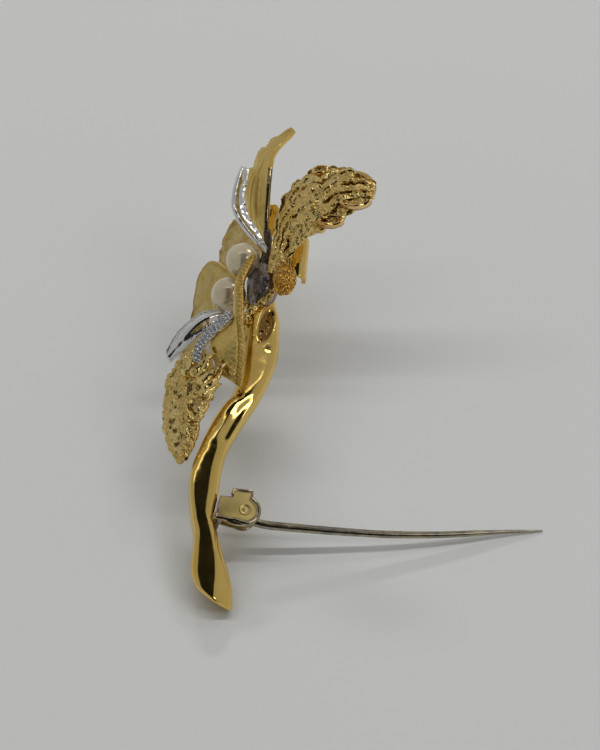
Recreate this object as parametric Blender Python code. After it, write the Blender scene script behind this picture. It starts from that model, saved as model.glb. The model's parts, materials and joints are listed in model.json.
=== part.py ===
"""Flower brooch with two pearls, a curved stem and a hinged pin.

The design is drawn in the brooch's own axes, in millimetres:
  b  front to back, + is towards the garment
  l  along the stem, + is towards the upper leaf
  a  across the brooch, + is the side that ends up on top when it lies down
The pin's rivet is close to b = l = 0, in the middle plane a = 0. An empty then lays the brooch on its side edge.
"""
import math

import bpy
import numpy as np
from mathutils import Matrix, Vector

MM = 0.001

# ------------------------------------------------------------ driving dimensions
SHEET = 0.62             # thickness of the cast leaves
FAR_SHEET = 0.60         # thickness of the two petals on the far side
SEAM = 0.30              # gap that soldered neighbours keep here

PEARL_R = 2.22
PEARL_UPPER = (-7.15, 32.25, 0.90)
PEARL_LOWER = (-7.92, 27.90, -0.85)

HUB_C = (-4.0, 30.0, 0.4)
HUB_R = (1.95, 3.4, 2.2)

AXIS_B, AXIS_L = -0.05, -0.55   # the rivet's axis, which runs across the brooch
CHEEK_R = 1.72           # round end of a hinge cheek
CHEEK_T = 0.55
CHEEK_OUT = 1.60         # outer face of a cheek, from the middle plane
RIVET_R = 0.45
RIVET_HEAD_R = 0.72
RIVET_CLEAR = 0.06
EYE_R = 1.42
EYE_HALF = 0.96

WIRE_R = 0.54            # pin wire at its root
WIRE_TIP_R = 0.11
PIN_CLOSES = 80.0        # degrees from the open pose to the catch

CATCH_IN_R = 0.78
CATCH_T = 0.55
CATCH_L0, CATCH_L1 = 31.2, 36.8
CATCH_B, CATCH_A = -0.20, 1.36
CATCH_LEAN = -0.12       # the hook leans forward towards the upper leaf

REST_HEADING = -8.6      # degrees, where the back points when the brooch lies down

for old in list(bpy.data.objects):
    bpy.data.objects.remove(old, do_unlink=True)


# ------------------------------------------------------------ helpers
def material(name, colour, rough, metal):
    m = bpy.data.materials.get(name) or bpy.data.materials.new(name)
    m.use_nodes = True
    bsdf = m.node_tree.nodes["Principled BSDF"]
    bsdf.inputs["Base Color"].default_value = (*colour, 1.0)
    bsdf.inputs["Roughness"].default_value = rough
    bsdf.inputs["Metallic"].default_value = metal
    m.diffuse_color = (*colour, 1.0)
    return m


GOLD = material("polished_gold", (0.78, 0.55, 0.20), 0.10, 1.0)
SATIN = material("satin_gold", (0.76, 0.60, 0.27), 0.38, 1.0)
NUGGET = material("textured_gold", (0.74, 0.50, 0.17), 0.25, 1.0)
WHITE = material("white_gold", (0.76, 0.75, 0.73), 0.12, 1.0)
WHITE_TEX = material("white_gold_engraved", (0.70, 0.68, 0.65), 0.28, 1.0)
PEARL = material("pearl", (0.80, 0.74, 0.62), 0.18, 0.0)
SOLDER = material("oxidised_solder", (0.27, 0.24, 0.25), 0.45, 1.0)
STEEL = material("tarnished_gilt_pin", (0.42, 0.36, 0.25), 0.32, 1.0)

lying = bpy.data.objects.new("brooch_lying", None)
bpy.context.scene.collection.objects.link(lying)
pin_axis = bpy.data.objects.new("pin_axis", None)
bpy.context.scene.collection.objects.link(pin_axis)
pin_axis.parent = lying
pin_axis.location = (AXIS_B * MM, AXIS_L * MM, 0.0)


def add_mesh(name, verts, faces, mat, origin=(0, 0, 0), parent=None, smooth=50.0):
    """A mesh from points in millimetres, with its origin at one of its own points."""
    o = np.asarray(origin, float)
    me = bpy.data.meshes.new(name)
    me.from_pydata([tuple((np.asarray(v) - o) * MM) for v in verts], [], faces)
    me.validate()
    ob = bpy.data.objects.new(name, me)
    bpy.context.scene.collection.objects.link(ob)
    ob.parent = parent or lying
    if parent is pin_axis:
        ob.location = Vector(o * MM) - pin_axis.location
    else:
        ob.location = Vector(o * MM)
    me.materials.append(mat)
    me.shade_smooth()
    me.set_sharp_from_angle(angle=math.radians(smooth))
    return ob


def smooth_curve(points, t):
    """Catmull-Rom curve through evenly spaced stations, t from 0 to 1."""
    p = np.asarray(points, float)
    n = len(p) - 1
    x = min(max(t, 0.0), 1.0) * n
    i = min(int(x), n - 1)
    f = x - i
    p1, p2 = p[i], p[i + 1]
    p0 = p[i - 1] if i > 0 else 2 * p1 - p2
    p3 = p[i + 2] if i + 2 <= n else 2 * p2 - p1
    return 0.5 * (2 * p1 + (p2 - p0) * f + (2 * p0 - 5 * p1 + 4 * p2 - p3) * f * f
                  + (3 * p1 - p0 - 3 * p2 + p3) * f ** 3)


def closed_sheet(grid, thick):
    """Closed solid round a grid of points; grid[i][j] runs base to tip, edge to edge."""
    g = np.asarray(grid, float)
    du = np.gradient(g, axis=0)
    dv = np.gradient(g, axis=1)
    n = np.cross(du, dv)
    n /= np.linalg.norm(n, axis=2, keepdims=True)
    t = np.asarray(thick, float)
    if t.ndim == 0:
        t = np.full(g.shape[:2], float(t))
    top = g + n * t[..., None] / 2
    low = g - n * t[..., None] / 2
    nu, nv = g.shape[:2]
    verts = list(top.reshape(-1, 3)) + list(low.reshape(-1, 3))
    k = nu * nv

    def at(i, j, side):
        return side * k + i * nv + j

    faces = []
    for i in range(nu - 1):
        for j in range(nv - 1):
            faces.append((at(i, j, 0), at(i + 1, j, 0), at(i + 1, j + 1, 0), at(i, j + 1, 0)))
            faces.append((at(i, j, 1), at(i, j + 1, 1), at(i + 1, j + 1, 1), at(i + 1, j, 1)))
    for i in range(nu - 1):
        faces.append((at(i, 0, 0), at(i, 0, 1), at(i + 1, 0, 1), at(i + 1, 0, 0)))
        faces.append((at(i, nv - 1, 0), at(i + 1, nv - 1, 0), at(i + 1, nv - 1, 1), at(i, nv - 1, 1)))
    for j in range(nv - 1):
        faces.append((at(0, j, 0), at(0, j + 1, 0), at(0, j + 1, 1), at(0, j, 1)))
        faces.append((at(nu - 1, j, 0), at(nu - 1, j, 1), at(nu - 1, j + 1, 1), at(nu - 1, j + 1, 0)))
    return verts, faces


def notched(t, teeth, depth):
    """Edge of a lobed leaf: grows towards each tooth's point, then steps back."""
    if not teeth:
        return 1.0
    f = (t * teeth) % 1.0
    if t >= 1.0:
        f = 1.0
    saw = f if f < 0.86 else 0.86 * (1.0 - f) / 0.14
    return 1.0 - depth * (1.0 - saw / 0.86)


def leaf(name, front, back, mat, face, thick=SHEET, crease=(0.0,), crease_at=0.5, bulge=(0.0,),
         front_teeth=(0, 0.0), back_teeth=(0, 0.0), nu=18, nv=6):
    """A leaf between two edge curves, base to tip.

    crease lifts a fold line towards 'face', bulge rounds the whole width.
    """
    face = np.asarray(face, float)
    rows = []
    for i in range(nu + 1):
        t = i / nu
        f, k = smooth_curve(front, t), smooth_curve(back, t)
        f2, k2 = smooth_curve(front, min(t + 0.02, 1.0)), smooth_curve(back, min(t + 0.02, 1.0))
        f1, k1 = smooth_curve(front, max(t - 0.02, 0.0)), smooth_curve(back, max(t - 0.02, 0.0))
        along = (f2 + k2) - (f1 + k1)
        nrm = np.cross(along, k - f)
        nrm /= np.linalg.norm(nrm)
        if np.dot(nrm, face) < 0:
            nrm = -nrm
        mid = f + (k - f) * crease_at
        f = mid + (f - mid) * notched(t, *front_teeth)
        k = mid + (k - mid) * notched(t, *back_teeth)
        c = float(smooth_curve([(x,) for x in crease], t)[0]) if len(crease) > 1 else crease[0]
        g = float(smooth_curve([(x,) for x in bulge], t)[0]) if len(bulge) > 1 else bulge[0]
        row = []
        for j in range(nv + 1):
            v = j / nv
            base = f + (k - f) * v
            tent = v / crease_at if v < crease_at else (1 - v) / (1 - crease_at)
            row.append(base + nrm * (c * tent + g * math.sin(math.pi * v)))
        rows.append(row)
    verts, faces = closed_sheet(rows, thick)
    origin = (np.asarray(front[0], float) + np.asarray(back[0], float)) / 2
    ob = add_mesh(name, verts, faces, mat, origin)
    return fix_normals(ob)


def fix_normals(ob):
    """Turn all faces outwards."""
    import bmesh
    bm = bmesh.new()
    bm.from_mesh(ob.data)
    bmesh.ops.recalc_face_normals(bm, faces=bm.faces)
    if bm.calc_volume(signed=True) < 0:
        bmesh.ops.reverse_faces(bm, faces=bm.faces)
    bm.to_mesh(ob.data)
    bm.free()
    return ob


def ellipsoid(name, centre, radii, mat, seg=20, rings=12):
    verts, faces = [], []
    verts.append(np.array(centre, float) + np.array((0, 0, radii[2])))
    for r in range(1, rings):
        th = math.pi * r / rings
        for s in range(seg):
            ph = 2 * math.pi * s / seg
            verts.append(np.array(centre, float) + np.array(
                (radii[0] * math.sin(th) * math.cos(ph),
                 radii[1] * math.sin(th) * math.sin(ph), radii[2] * math.cos(th))))
    verts.append(np.array(centre, float) - np.array((0, 0, radii[2])))
    last = len(verts) - 1
    for s in range(seg):
        t = (s + 1) % seg
        faces.append((0, 1 + s, 1 + t))
        for r in range(rings - 2):
            p = 1 + r * seg
            faces.append((p + s, p + seg + s, p + seg + t, p + t))
        p = 1 + (rings - 2) * seg
        faces.append((p + s, last, p + t))
    return fix_normals(add_mesh(name, verts, faces, mat, centre, smooth=80))


def tube(path, radii, seg=10, squash=(1.0, 1.0), up=(0, 0, 1), caps=True):
    """Verts and faces of a round-ended bar along a path."""
    pts = [np.asarray(p, float) for p in path]
    up = np.asarray(up, float)
    verts, faces = [], []
    n = len(pts)
    for i, p in enumerate(pts):
        d = pts[min(i + 1, n - 1)] - pts[max(i - 1, 0)]
        d /= np.linalg.norm(d)
        x = np.cross(up, d)
        x /= np.linalg.norm(x)
        y = np.cross(d, x)
        for s in range(seg):
            a = 2 * math.pi * (s + 0.5) / seg
            verts.append(p + radii[i] * (squash[0] * math.cos(a) * x + squash[1] * math.sin(a) * y))
    for i in range(n - 1):
        for s in range(seg):
            t = (s + 1) % seg
            faces.append((i * seg + s, i * seg + t, (i + 1) * seg + t, (i + 1) * seg + s))
    faces.append(tuple(range(seg - 1, -1, -1)))
    faces.append(tuple((n - 1) * seg + s for s in range(seg)))
    return verts, faces


def prism(outline, a0, a1):
    """Outline in the b-l plane, extruded across from a0 to a1."""
    n = len(outline)
    verts = [(p[0], p[1], a0) for p in outline] + [(p[0], p[1], a1) for p in outline]
    faces = [tuple(range(n - 1, -1, -1)), tuple(range(n, 2 * n))]
    for i in range(n):
        j = (i + 1) % n
        faces.append((i, j, n + j, n + i))
    return verts, faces


def cutter(ob):
    ob.hide_render = True
    ob.display_type = "WIRE"
    return ob


def boolean(ob, other, what):
    m = ob.modifiers.new(what.lower() + "_" + other.name, "BOOLEAN")
    m.operation = what
    m.solver = "EXACT"
    m.object = other


# ------------------------------------------------------------ pearls and solder hub
pearl_upper = ellipsoid("pearl_upper", PEARL_UPPER, (PEARL_R,) * 3, PEARL)
pearl_lower = ellipsoid("pearl_lower", PEARL_LOWER, (PEARL_R,) * 3, PEARL)
hub = ellipsoid("hub", HUB_C, HUB_R, SOLDER, seg=18, rings=12)

seat = PEARL_R + SEAM
seat_upper = cutter(ellipsoid("seat_upper", PEARL_UPPER, (seat,) * 3, PEARL, seg=18, rings=12))
seat_lower = cutter(ellipsoid("seat_lower", PEARL_LOWER, (seat,) * 3, PEARL, seg=18, rings=12))
hub_room = cutter(ellipsoid("hub_room", HUB_C, tuple(r + SEAM for r in HUB_R), SOLDER, seg=18, rings=12))
boolean(hub, seat_upper, "DIFFERENCE")
boolean(hub, seat_lower, "DIFFERENCE")

# ------------------------------------------------------------ stem
# stations from the foot up: front point (b, l), back point (b, l), half width, middle a
STEM = [
    ((-4.0, -10.7), (1.20, -12.95), 2.05, -0.35),
    ((-4.8, -9.0), (0.90, -11.1), 1.95, -0.25),
    ((-5.1, -6.8), (-0.05, -8.7), 1.80, -0.15),
    ((-5.45, -4.7), (-1.35, -6.3), 1.70, -0.10),
    ((-6.2, -2.8), (-2.45, -4.2), 1.65, 0.0),
    ((-6.8, -0.9), (-3.45, -2.0), 1.65, 0.0),
    ((-7.25, 0.8), (-3.55, 0.4), 1.65, 0.0),
    ((-7.45, 2.3), (-3.65, 2.4), 1.65, 0.0),
    ((-7.50, 4.0), (-3.75, 4.4), 1.62, 0.0),
    ((-7.22, 6.0), (-3.60, 6.5), 1.60, 0.0),
    ((-6.80, 8.2), (-2.95, 8.9), 1.60, 0.0),
    ((-6.25, 10.5), (-2.10, 11.5), 1.60, 0.0),
    ((-5.55, 12.5), (-1.20, 14.0), 1.76, 0.12),
    ((-4.75, 14.2), (-0.60, 16.4), 1.80, 0.06),
    ((-4.40, 16.4), (-0.20, 18.7), 1.75, -0.08),
    ((-4.6, 19.4), (-0.15, 21.0), 1.67, -0.24),
    ((-5.0, 22.4), (-0.55, 23.8), 1.60, -0.43),
    ((-5.3, 25.2), (-1.00, 26.0), 1.50, -0.58),
    ((-5.3, 27.6), (-1.95, 28.2), 1.40, -0.70),
    ((-5.2, 29.2), (-2.30, 30.2), 1.30, -0.70),
]


def stem_section(k, seg):
    """Rounded bar section, a little flatter on its broad sides, with a ridge towards the back."""
    th = 2 * math.pi * k / seg
    c, s = math.cos(th), math.sin(th)
    x = math.copysign(abs(c) ** 0.85, c)
    y = math.copysign(abs(s) ** 0.80, s)
    return x, y


FOOT_SLANT = 0.45        # the foot's cut is also slanted across the stem
FOOT_ROUND = 0.85        # the foot's end is a little smaller than the section above it


def stem_mesh(rows, seg):
    fr = [(s[0][0], s[0][1]) for s in STEM]
    bk = [(s[1][0], s[1][1]) for s in STEM]
    wd = [(s[2], s[3]) for s in STEM]
    verts, faces = [], []
    for i in range(rows + 1):
        t = i / rows
        f, k, w = smooth_curve(fr, t), smooth_curve(bk, t), smooth_curve(wd, t)
        c, h = (f + k) / 2, (k - f) / 2
        for j in range(seg):
            x, y = stem_section(j, seg)
            end = max(0.0, 1.0 - t / 0.11)
            size = FOOT_ROUND if i == 0 else 1.0
            p = c + h * x * size
            slant = FOOT_SLANT * end * w[0] * y
            verts.append((p[0], p[1] - slant, w[1] + w[0] * y * size))
    for i in range(rows):
        for j in range(seg):
            q = (j + 1) % seg
            faces.append((i * seg + j, i * seg + q, (i + 1) * seg + q, (i + 1) * seg + j))
    faces.append(tuple(range(seg - 1, -1, -1)))
    faces.append(tuple(rows * seg + j for j in range(seg)))
    return verts, faces


v, f = stem_mesh(36, 14)
stem = fix_normals(add_mesh("stem", v, f, GOLD, (-5.5, 0.0, 0.0)))
boolean(stem, hub_room, "DIFFERENCE")

# ------------------------------------------------------------ leaves and petals
leaf_upper = leaf(
    "leaf_upper",
    front=[(-6.0, 36.2, -0.9), (-7.3, 38.8, -1.8), (-8.2, 41.6, -2.5), (-8.6, 44.5, -2.8),
           (-8.5, 47.6, -2.4), (-7.3, 50.4, -1.6), (-4.9, 53.0, -0.35)],
    back=[(-4.9, 35.9, 0.8), (-5.5, 37.7, 1.8), (-6.0, 40.3, 2.5), (-6.4, 42.9, 2.8), (-6.6, 45.9, 2.3),
          (-6.1, 48.6, 1.5), (-4.4, 52.3, 0.25)],
    mat=SATIN, face=(-1, 0, 0.2), crease=(0.0, 0.5, 0.8, 0.8, 0.6, 0.3, 0.0), crease_at=0.42,
    front_teeth=(5, 0.16), back_teeth=(5, 0.10), nu=20, nv=6)

blade_white_upper = leaf(
    "blade_white_upper",
    front=[(-6.2, 34.5, 2.3), (-8.5, 36.4, 2.4), (-9.9, 38.4, 2.3), (-10.3, 40.6, 2.1), (-10.15, 42.7, 1.7),
           (-10.1, 44.8, 1.2)],
    back=[(-5.5, 35.2, 1.7), (-6.6, 36.75, 1.5), (-7.85, 38.2, 1.3), (-8.75, 40.4, 1.2), (-9.25, 42.6, 1.0),
          (-9.5, 44.9, 0.8)],
    mat=WHITE, face=(-1, 0, 0.2), thick=0.55, bulge=(0.1, 0.3, 0.35, 0.35, 0.2, 0.05), nu=14, nv=4)

petal_far_upper = leaf(
    "petal_far_upper",
    front=[(-5.2, 33.2, -2.9), (-7.3, 33.6, -5.6), (-8.6, 35.2, -9.0), (-9.3, 37.2, -12.2),
           (-9.6, 39.8, -13.8)],
    back=[(-4.9, 35.6, -2.2), (-6.3, 39.2, -4.4), (-7.9, 42.0, -7.6), (-9.1, 42.9, -10.6),
          (-9.6, 41.2, -13.4)],
    mat=SATIN, face=(-1, 0, 0.3), thick=FAR_SHEET, bulge=(0.1, -0.7, -0.9, -0.5, 0.0),
    crease=(0.0, 0.5, 0.6, 0.4, 0.0), front_teeth=(4, 0.06), back_teeth=(4, 0.10), nu=14, nv=6)

petal_far_lower = leaf(
    "petal_far_lower",
    front=[(-6.0, 27.2, -3.6), (-7.6, 25.4, -6.8), (-9.2, 24.3, -10.2), (-10.5, 23.9, -13.0),
           (-11.4, 24.2, -14.8), (-12.0, 25.3, -15.8)],
    back=[(-5.6, 29.6, -3.2), (-8.3, 33.4, -5.4), (-10.5, 35.9, -9.0), (-11.6, 35.4, -12.6),
          (-11.3, 31.2, -15.2), (-12.0, 26.9, -15.7)],
    mat=SATIN, face=(-1, 0, 0.3), thick=FAR_SHEET, bulge=(0.1, -0.8, -1.1, -0.9, -0.5, 0.0),
    crease=(0.0, 0.5, 0.7, 0.6, 0.3, 0.0), crease_at=0.62, front_teeth=(4, 0.06), back_teeth=(4, 0.05),
    nu=16, nv=6)

leaf_near = leaf(
    "leaf_near",
    front=[(-6.7, 31.2, 3.3), (-7.35, 28.3, 3.0), (-6.95, 25.5, 2.8), (-6.75, 22.8, 2.7),
           (-8.7, 19.2, 2.65), (-6.9, 15.6, 2.7)],
    back=[(-6.0, 31.4, 3.4), (-6.6, 28.2, 3.8), (-6.2, 25.5, 4.0), (-5.4, 21.9, 4.0), (-4.5, 18.3, 3.8),
          (-3.9, 14.2, 3.2)],
    mat=SATIN, face=(-0.3, -0.3, 1), bulge=(0.0, 0.1, 0.2, 0.3, 0.3, 0.1), back_teeth=(9, 0.03),
    nu=18, nv=6)

leaf_lower_textured = leaf(
    "leaf_lower_textured",
    front=[(-10.9, 18.6, -1.2), (-12.1, 16.7, -1.8), (-12.45, 13.9, -2.0), (-12.1, 10.8, -2.0),
           (-11.1, 7.9, -1.8), (-10.0, 5.6, -1.2), (-8.7, 4.0, -0.2)],
    back=[(-8.6, 18.6, 1.0), (-7.7, 16.6, 1.6), (-6.7, 14.2, 2.4), (-7.3, 11.6, 2.9), (-7.75, 8.8, 2.8),
          (-7.8, 6.2, 2.2), (-8.25, 4.3, 0.6)],
    mat=NUGGET, face=(-0.6, -0.2, 1), thick=0.9, bulge=(0.2, 0.7, 1.0, 1.0, 0.9, 0.6, 0.2),
    front_teeth=(6, 0.08), back_teeth=(6, 0.08), nu=18, nv=8)

blade_white_lower = leaf(
    "blade_white_lower",
    front=[(-6.6, 26.9, -3.9), (-8.8, 26.55, -3.7), (-10.4, 25.85, -3.8), (-11.8, 24.45, -4.4),
           (-13.0, 22.7, -5.4), (-13.7, 20.3, -6.6)],
    back=[(-5.95, 26.05, -3.4), (-7.85, 25.25, -3.3), (-9.45, 23.85, -3.5), (-10.8, 22.15, -4.1),
          (-11.9, 20.7, -5.1), (-13.1, 19.35, -6.4)],
    mat=WHITE, face=(-0.5, -0.3, 1), thick=0.55, bulge=(0.1, 0.3, 0.4, 0.4, 0.2, 0.0), nu=14, nv=4)

strip_white_textured = leaf(
    "strip_white_textured",
    front=[(-7.7, 23.7, 3.1), (-9.05, 21.6, 3.1), (-10.35, 19.2, 3.0), (-10.6, 17.5, 2.9),
           (-10.2, 16.2, 2.8)],
    back=[(-7.0, 23.0, 3.2), (-8.35, 20.7, 3.2), (-9.5, 18.6, 3.1), (-9.65, 17.1, 3.0), (-9.3, 16.1, 2.9)],
    mat=WHITE_TEX, face=(-0.3, -0.3, 1), thick=0.5, nu=12, nv=2)

leaf_rolled = leaf(
    "leaf_rolled",
    front=[(-3.9, 33.0, 2.8), (-3.95, 36.0, 3.4), (-4.05, 38.5, 4.2), (-3.65, 40.75, 5.2),
           (-2.6, 42.45, 6.4), (-0.85, 43.9, 7.4), (1.3, 44.25, 8.2), (3.3, 44.15, 8.7), (5.15, 43.55, 9.2),
           (6.3, 42.5, 9.6)],
    back=[(-2.25, 31.9, 3.5), (-1.5, 32.9, 4.4), (-0.85, 34.0, 5.3), (0.1, 34.9, 6.3), (1.15, 35.45, 7.3),
          (2.65, 36.2, 8.1), (3.85, 37.55, 8.6), (4.8, 38.8, 9.0), (5.85, 39.6, 9.4), (6.5, 40.8, 9.7)],
    mat=NUGGET, face=(-0.2, -0.4, 1), thick=0.8, bulge=(0.2, 0.5, 0.8, 1.0, 1.1, 1.1, 1.0, 0.8, 0.4),
    front_teeth=(7, 0.10), back_teeth=(6, 0.16), nu=24, nv=8)

leaf_back_tip = leaf(
    "leaf_back_tip",
    front=[(-2.6, 31.6, 3.0), (-2.9, 30.6, 3.3), (-2.75, 29.2, 3.4), (-2.2, 28.2, 3.3), (-1.5, 27.7, 3.3)],
    back=[(-1.3, 31.6, 3.4), (-0.7, 31.0, 3.5), (-0.45, 30.0, 3.6), (-0.6, 28.8, 3.5), (-1.1, 27.8, 3.4)],
    mat=NUGGET, face=(0, -0.3, 1), thick=0.9, bulge=(0.1, 0.4, 0.5, 0.4, 0.1), nu=8, nv=4)

leaf_back_upper = leaf(
    "leaf_back_upper",
    front=[(-5.0, 34.6, -2.0), (-5.2, 36.6, -2.2), (-5.1, 38.6, -2.3), (-5.1, 40.6, -2.0),
           (-5.3, 42.0, -1.3)],
    back=[(-4.6, 34.6, -1.2), (-4.7, 36.6, -0.9), (-4.2, 38.6, -0.6), (-4.1, 40.6, -0.6),
          (-4.9, 41.9, -0.9)],
    mat=GOLD, face=(1, 0, 0.5), thick=0.6, bulge=(0.1, 0.2, 0.5, 0.5, 0.1), nu=8, nv=4)

for ob in (leaf_upper, blade_white_upper, petal_far_upper, petal_far_lower, leaf_near,
           blade_white_lower, leaf_rolled, leaf_back_tip, leaf_back_upper):
    boolean(ob, hub_room, "DIFFERENCE")
for ob in (leaf_near, blade_white_lower):
    boolean(ob, seat_lower, "DIFFERENCE")
for ob in (leaf_near, blade_white_upper):
    boolean(ob, seat_upper, "DIFFERENCE")

# ------------------------------------------------------------ catch on the back
def catch_outline():
    """Hook section across the brooch (b, a): foot, floor, round side and flat back lip."""
    ri, ro = CATCH_IN_R, CATCH_IN_R + CATCH_T
    outer, inner = [], []
    for k in range(9):
        th = math.radians(-90 + 22.5 * k)
        outer.append((CATCH_B + ro * math.sin(th), CATCH_A + ro * math.cos(th)))
        inner.append((CATCH_B + ri * math.sin(th), CATCH_A + ri * math.cos(th)))
    lip = 0.62                       # the lip stops beside the wire's path
    foot = -1.10
    pts = [(CATCH_B - ro, foot)] + outer + [(CATCH_B + ro, lip), (CATCH_B + ri, lip)]
    pts += inner[::-1] + [(CATCH_B - ri, foot)]
    return pts


def catch_mesh():
    pts = catch_outline()
    n = len(pts)
    lean = CATCH_LEAN * (CATCH_L1 - CATCH_L0)
    verts = [(p[0], CATCH_L0, p[1]) for p in pts] + [(p[0] + lean, CATCH_L1, p[1]) for p in pts]
    faces = [tuple(range(n)), tuple(range(2 * n - 1, n - 1, -1))]
    for i in range(n):
        j = (i + 1) % n
        faces.append((i, n + i, n + j, j))
    return verts, faces


v, f = catch_mesh()
catch = fix_normals(add_mesh("catch", v, f, GOLD, (CATCH_B, CATCH_L0, CATCH_A), smooth=35))
v, f = prism([(-3.1, 33.9), (-1.7, 33.9), (-1.9, 36.0), (-3.1, 36.0)], -1.0, 0.9)
catch_foot = cutter(fix_normals(add_mesh("catch_foot", v, f, GOLD, (-2.0, 34.0, 0.0))))
boolean(catch, catch_foot, "UNION")
boolean(catch, hub_room, "DIFFERENCE")


# ------------------------------------------------------------ pin hinge
def cheek_outline():
    """Cheek seen from the side: round end, waist, and the foot against the stem."""
    pts = []
    for k in range(15):
        th = math.radians(-112 + 15.5 * k)
        pts.append((AXIS_B + CHEEK_R * math.cos(th), AXIS_L + CHEEK_R * math.sin(th)))
        if k == 10:
            pts += [(0.50, 1.05), (0.42, 2.02), (-2.05, 1.62), (-1.95, 0.75)]
            break
    pts += [(-3.15, 0.55), (-3.15, -2.30), (-2.45, -2.12), (-1.6, -2.15)]
    return pts


v, f = prism(cheek_outline(), CHEEK_OUT - CHEEK_T, CHEEK_OUT)
hinge_bracket = fix_normals(add_mesh("hinge_bracket", v, f, GOLD, (0, 0, 0), smooth=35))
v, f = prism(cheek_outline(), -CHEEK_OUT, -CHEEK_OUT + CHEEK_T)
far_cheek = cutter(fix_normals(add_mesh("far_cheek", v, f, GOLD)))
v, f = prism([(-3.14, -2.25), (-2.40, -2.05), (-2.10, 0.62), (-3.14, 0.50)], -CHEEK_OUT + 0.2, CHEEK_OUT - 0.2)
hinge_base = cutter(fix_normals(add_mesh("hinge_base", v, f, GOLD)))
v, f = prism([(-1.99, 1.02), (-0.55, 1.24), (-0.60, 1.84), (-2.00, 1.60)],
             -CHEEK_OUT + 0.01, CHEEK_OUT - 0.01)
stop_tab = cutter(fix_normals(add_mesh("stop_tab", v, f, GOLD)))


def ring_points(r, seg, a, b0=AXIS_B, l0=AXIS_L):
    return [(b0 + r * math.cos(2 * math.pi * k / seg), l0 + r * math.sin(2 * math.pi * k / seg), a)
            for k in range(seg)]


def turned(profile, seg=24):
    """Solid of revolution about the rivet axis; profile is (radius, a) from end to end."""
    verts, faces = [], []
    for r, a in profile:
        verts += ring_points(r, seg, a)
    for i in range(len(profile) - 1):
        for k in range(seg):
            q = (k + 1) % seg
            faces.append((i * seg + k, i * seg + q, (i + 1) * seg + q, (i + 1) * seg + k))
    faces.append(tuple(range(seg - 1, -1, -1)))
    faces.append(tuple((len(profile) - 1) * seg + k for k in range(seg)))
    return verts, faces


hole_r = RIVET_R + RIVET_CLEAR
v, f = turned([(hole_r, -3.0), (hole_r, 3.0)])
rivet_hole = cutter(fix_normals(add_mesh("rivet_hole", v, f, GOLD)))
boolean(hinge_bracket, far_cheek, "UNION")
boolean(hinge_bracket, hinge_base, "UNION")
boolean(hinge_bracket, stop_tab, "UNION")
boolean(hinge_bracket, rivet_hole, "DIFFERENCE")

head = CHEEK_OUT + RIVET_CLEAR
v, f = turned([(0.45, -head - 0.30), (RIVET_HEAD_R, -head - 0.12), (RIVET_HEAD_R, -head),
               (RIVET_R, -head), (RIVET_R, head),
               (RIVET_HEAD_R, head), (RIVET_HEAD_R, head + 0.12), (0.45, head + 0.30)])
hinge_rivet = fix_normals(add_mesh("hinge_rivet", v, f, GOLD, smooth=35))

# ------------------------------------------------------------ pin
WIRE = [(0.30, -1.02, 0.0), (1.5, -1.20, 0.0), (3.2, -1.18, 0.0), (7.1, -0.58, 0.0), (12.0, 0.26, 0.0),
        (16.9, 1.19, 0.0), (21.7, 2.33, 0.0), (26.6, 3.72, 0.0), (31.4, 5.24, 0.0), (36.5, 6.75, 0.0)]
v, f = turned([(EYE_R, -EYE_HALF), (EYE_R, EYE_HALF)], seg=28)
pin = fix_normals(add_mesh("pin", v, f, STEEL, parent=pin_axis, smooth=35))
N = 26
path = [smooth_curve(WIRE, i / N) for i in range(N + 1)]


def wire_radius(t):
    if t < 0.30:
        return WIRE_R
    if t < 0.80:
        return WIRE_R + (0.40 - WIRE_R) * (t - 0.30) / 0.50
    return 0.40 + (WIRE_TIP_R - 0.40) * (t - 0.80) / 0.20


v, f = tube(path, [wire_radius(i / N) for i in range(N + 1)], seg=10)
pin_wire = cutter(fix_normals(add_mesh("pin_wire", v, f, STEEL, parent=pin_axis)))
v, f = turned([(hole_r, -3.0), (hole_r, 3.0)])
eye_hole = cutter(fix_normals(add_mesh("eye_hole", v, f, STEEL, parent=pin_axis)))
boolean(pin, pin_wire, "UNION")
boolean(pin, eye_hole, "DIFFERENCE")


# ------------------------------------------------------------ lay the brooch down
def points_of(ob):
    o = np.array(ob.location) / MM
    if ob.parent is pin_axis:
        o = o + np.array(pin_axis.location) / MM
    return np.array([np.array(vt.co) / MM for vt in ob.data.vertices]) + o


def lay_down():
    """It rests on the stem's foot, the pin's point and the far petal: all three at zero height."""
    foot, tip, petal = points_of(stem), points_of(pin_wire), points_of(petal_far_lower)
    up = np.array((-0.2, 0.27, 0.94))
    for _ in range(12):
        p, q, r = (g[np.argmin(g @ up)] for g in (foot, tip, petal))
        n = np.cross(q - p, r - p)
        n /= np.linalg.norm(n)
        up = n if n[2] > 0 else -n
    back = np.array((1.0, 0, 0)) - up * up[0]
    back /= np.linalg.norm(back)
    side = np.cross(up, back)
    h = math.radians(REST_HEADING)
    x_axis = math.cos(h) * back - math.sin(h) * side
    y_axis = np.cross(up, x_axis)
    rot = np.array((x_axis, y_axis, up))
    solids = [o for o in bpy.data.objects if o.type == "MESH" and not o.hide_render] + [pin_wire]
    every = np.vstack([points_of(o) for o in solids]) @ rot.T
    lo, hi = every.min(axis=0), every.max(axis=0)
    shift = np.array((-(lo[0] + hi[0]) / 2, -(lo[1] + hi[1]) / 2, -lo[2]))
    lying.matrix_world = Matrix.Translation(Vector(shift * MM)) @ Matrix(rot.tolist()).to_4x4()


lay_down()
bpy.context.view_layer.update()
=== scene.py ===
"""Looks of the flower brooch: fine meshes, materials, floor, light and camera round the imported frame.

Shapes are drawn in the brooch's own axes in millimetres (b front to back, l along the stem, a across) and
carried to the row frame by the place of the pearls and the hinge axis.
"""
import json
import math

import bpy
import numpy as np
from mathutils import Matrix, Vector


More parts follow.
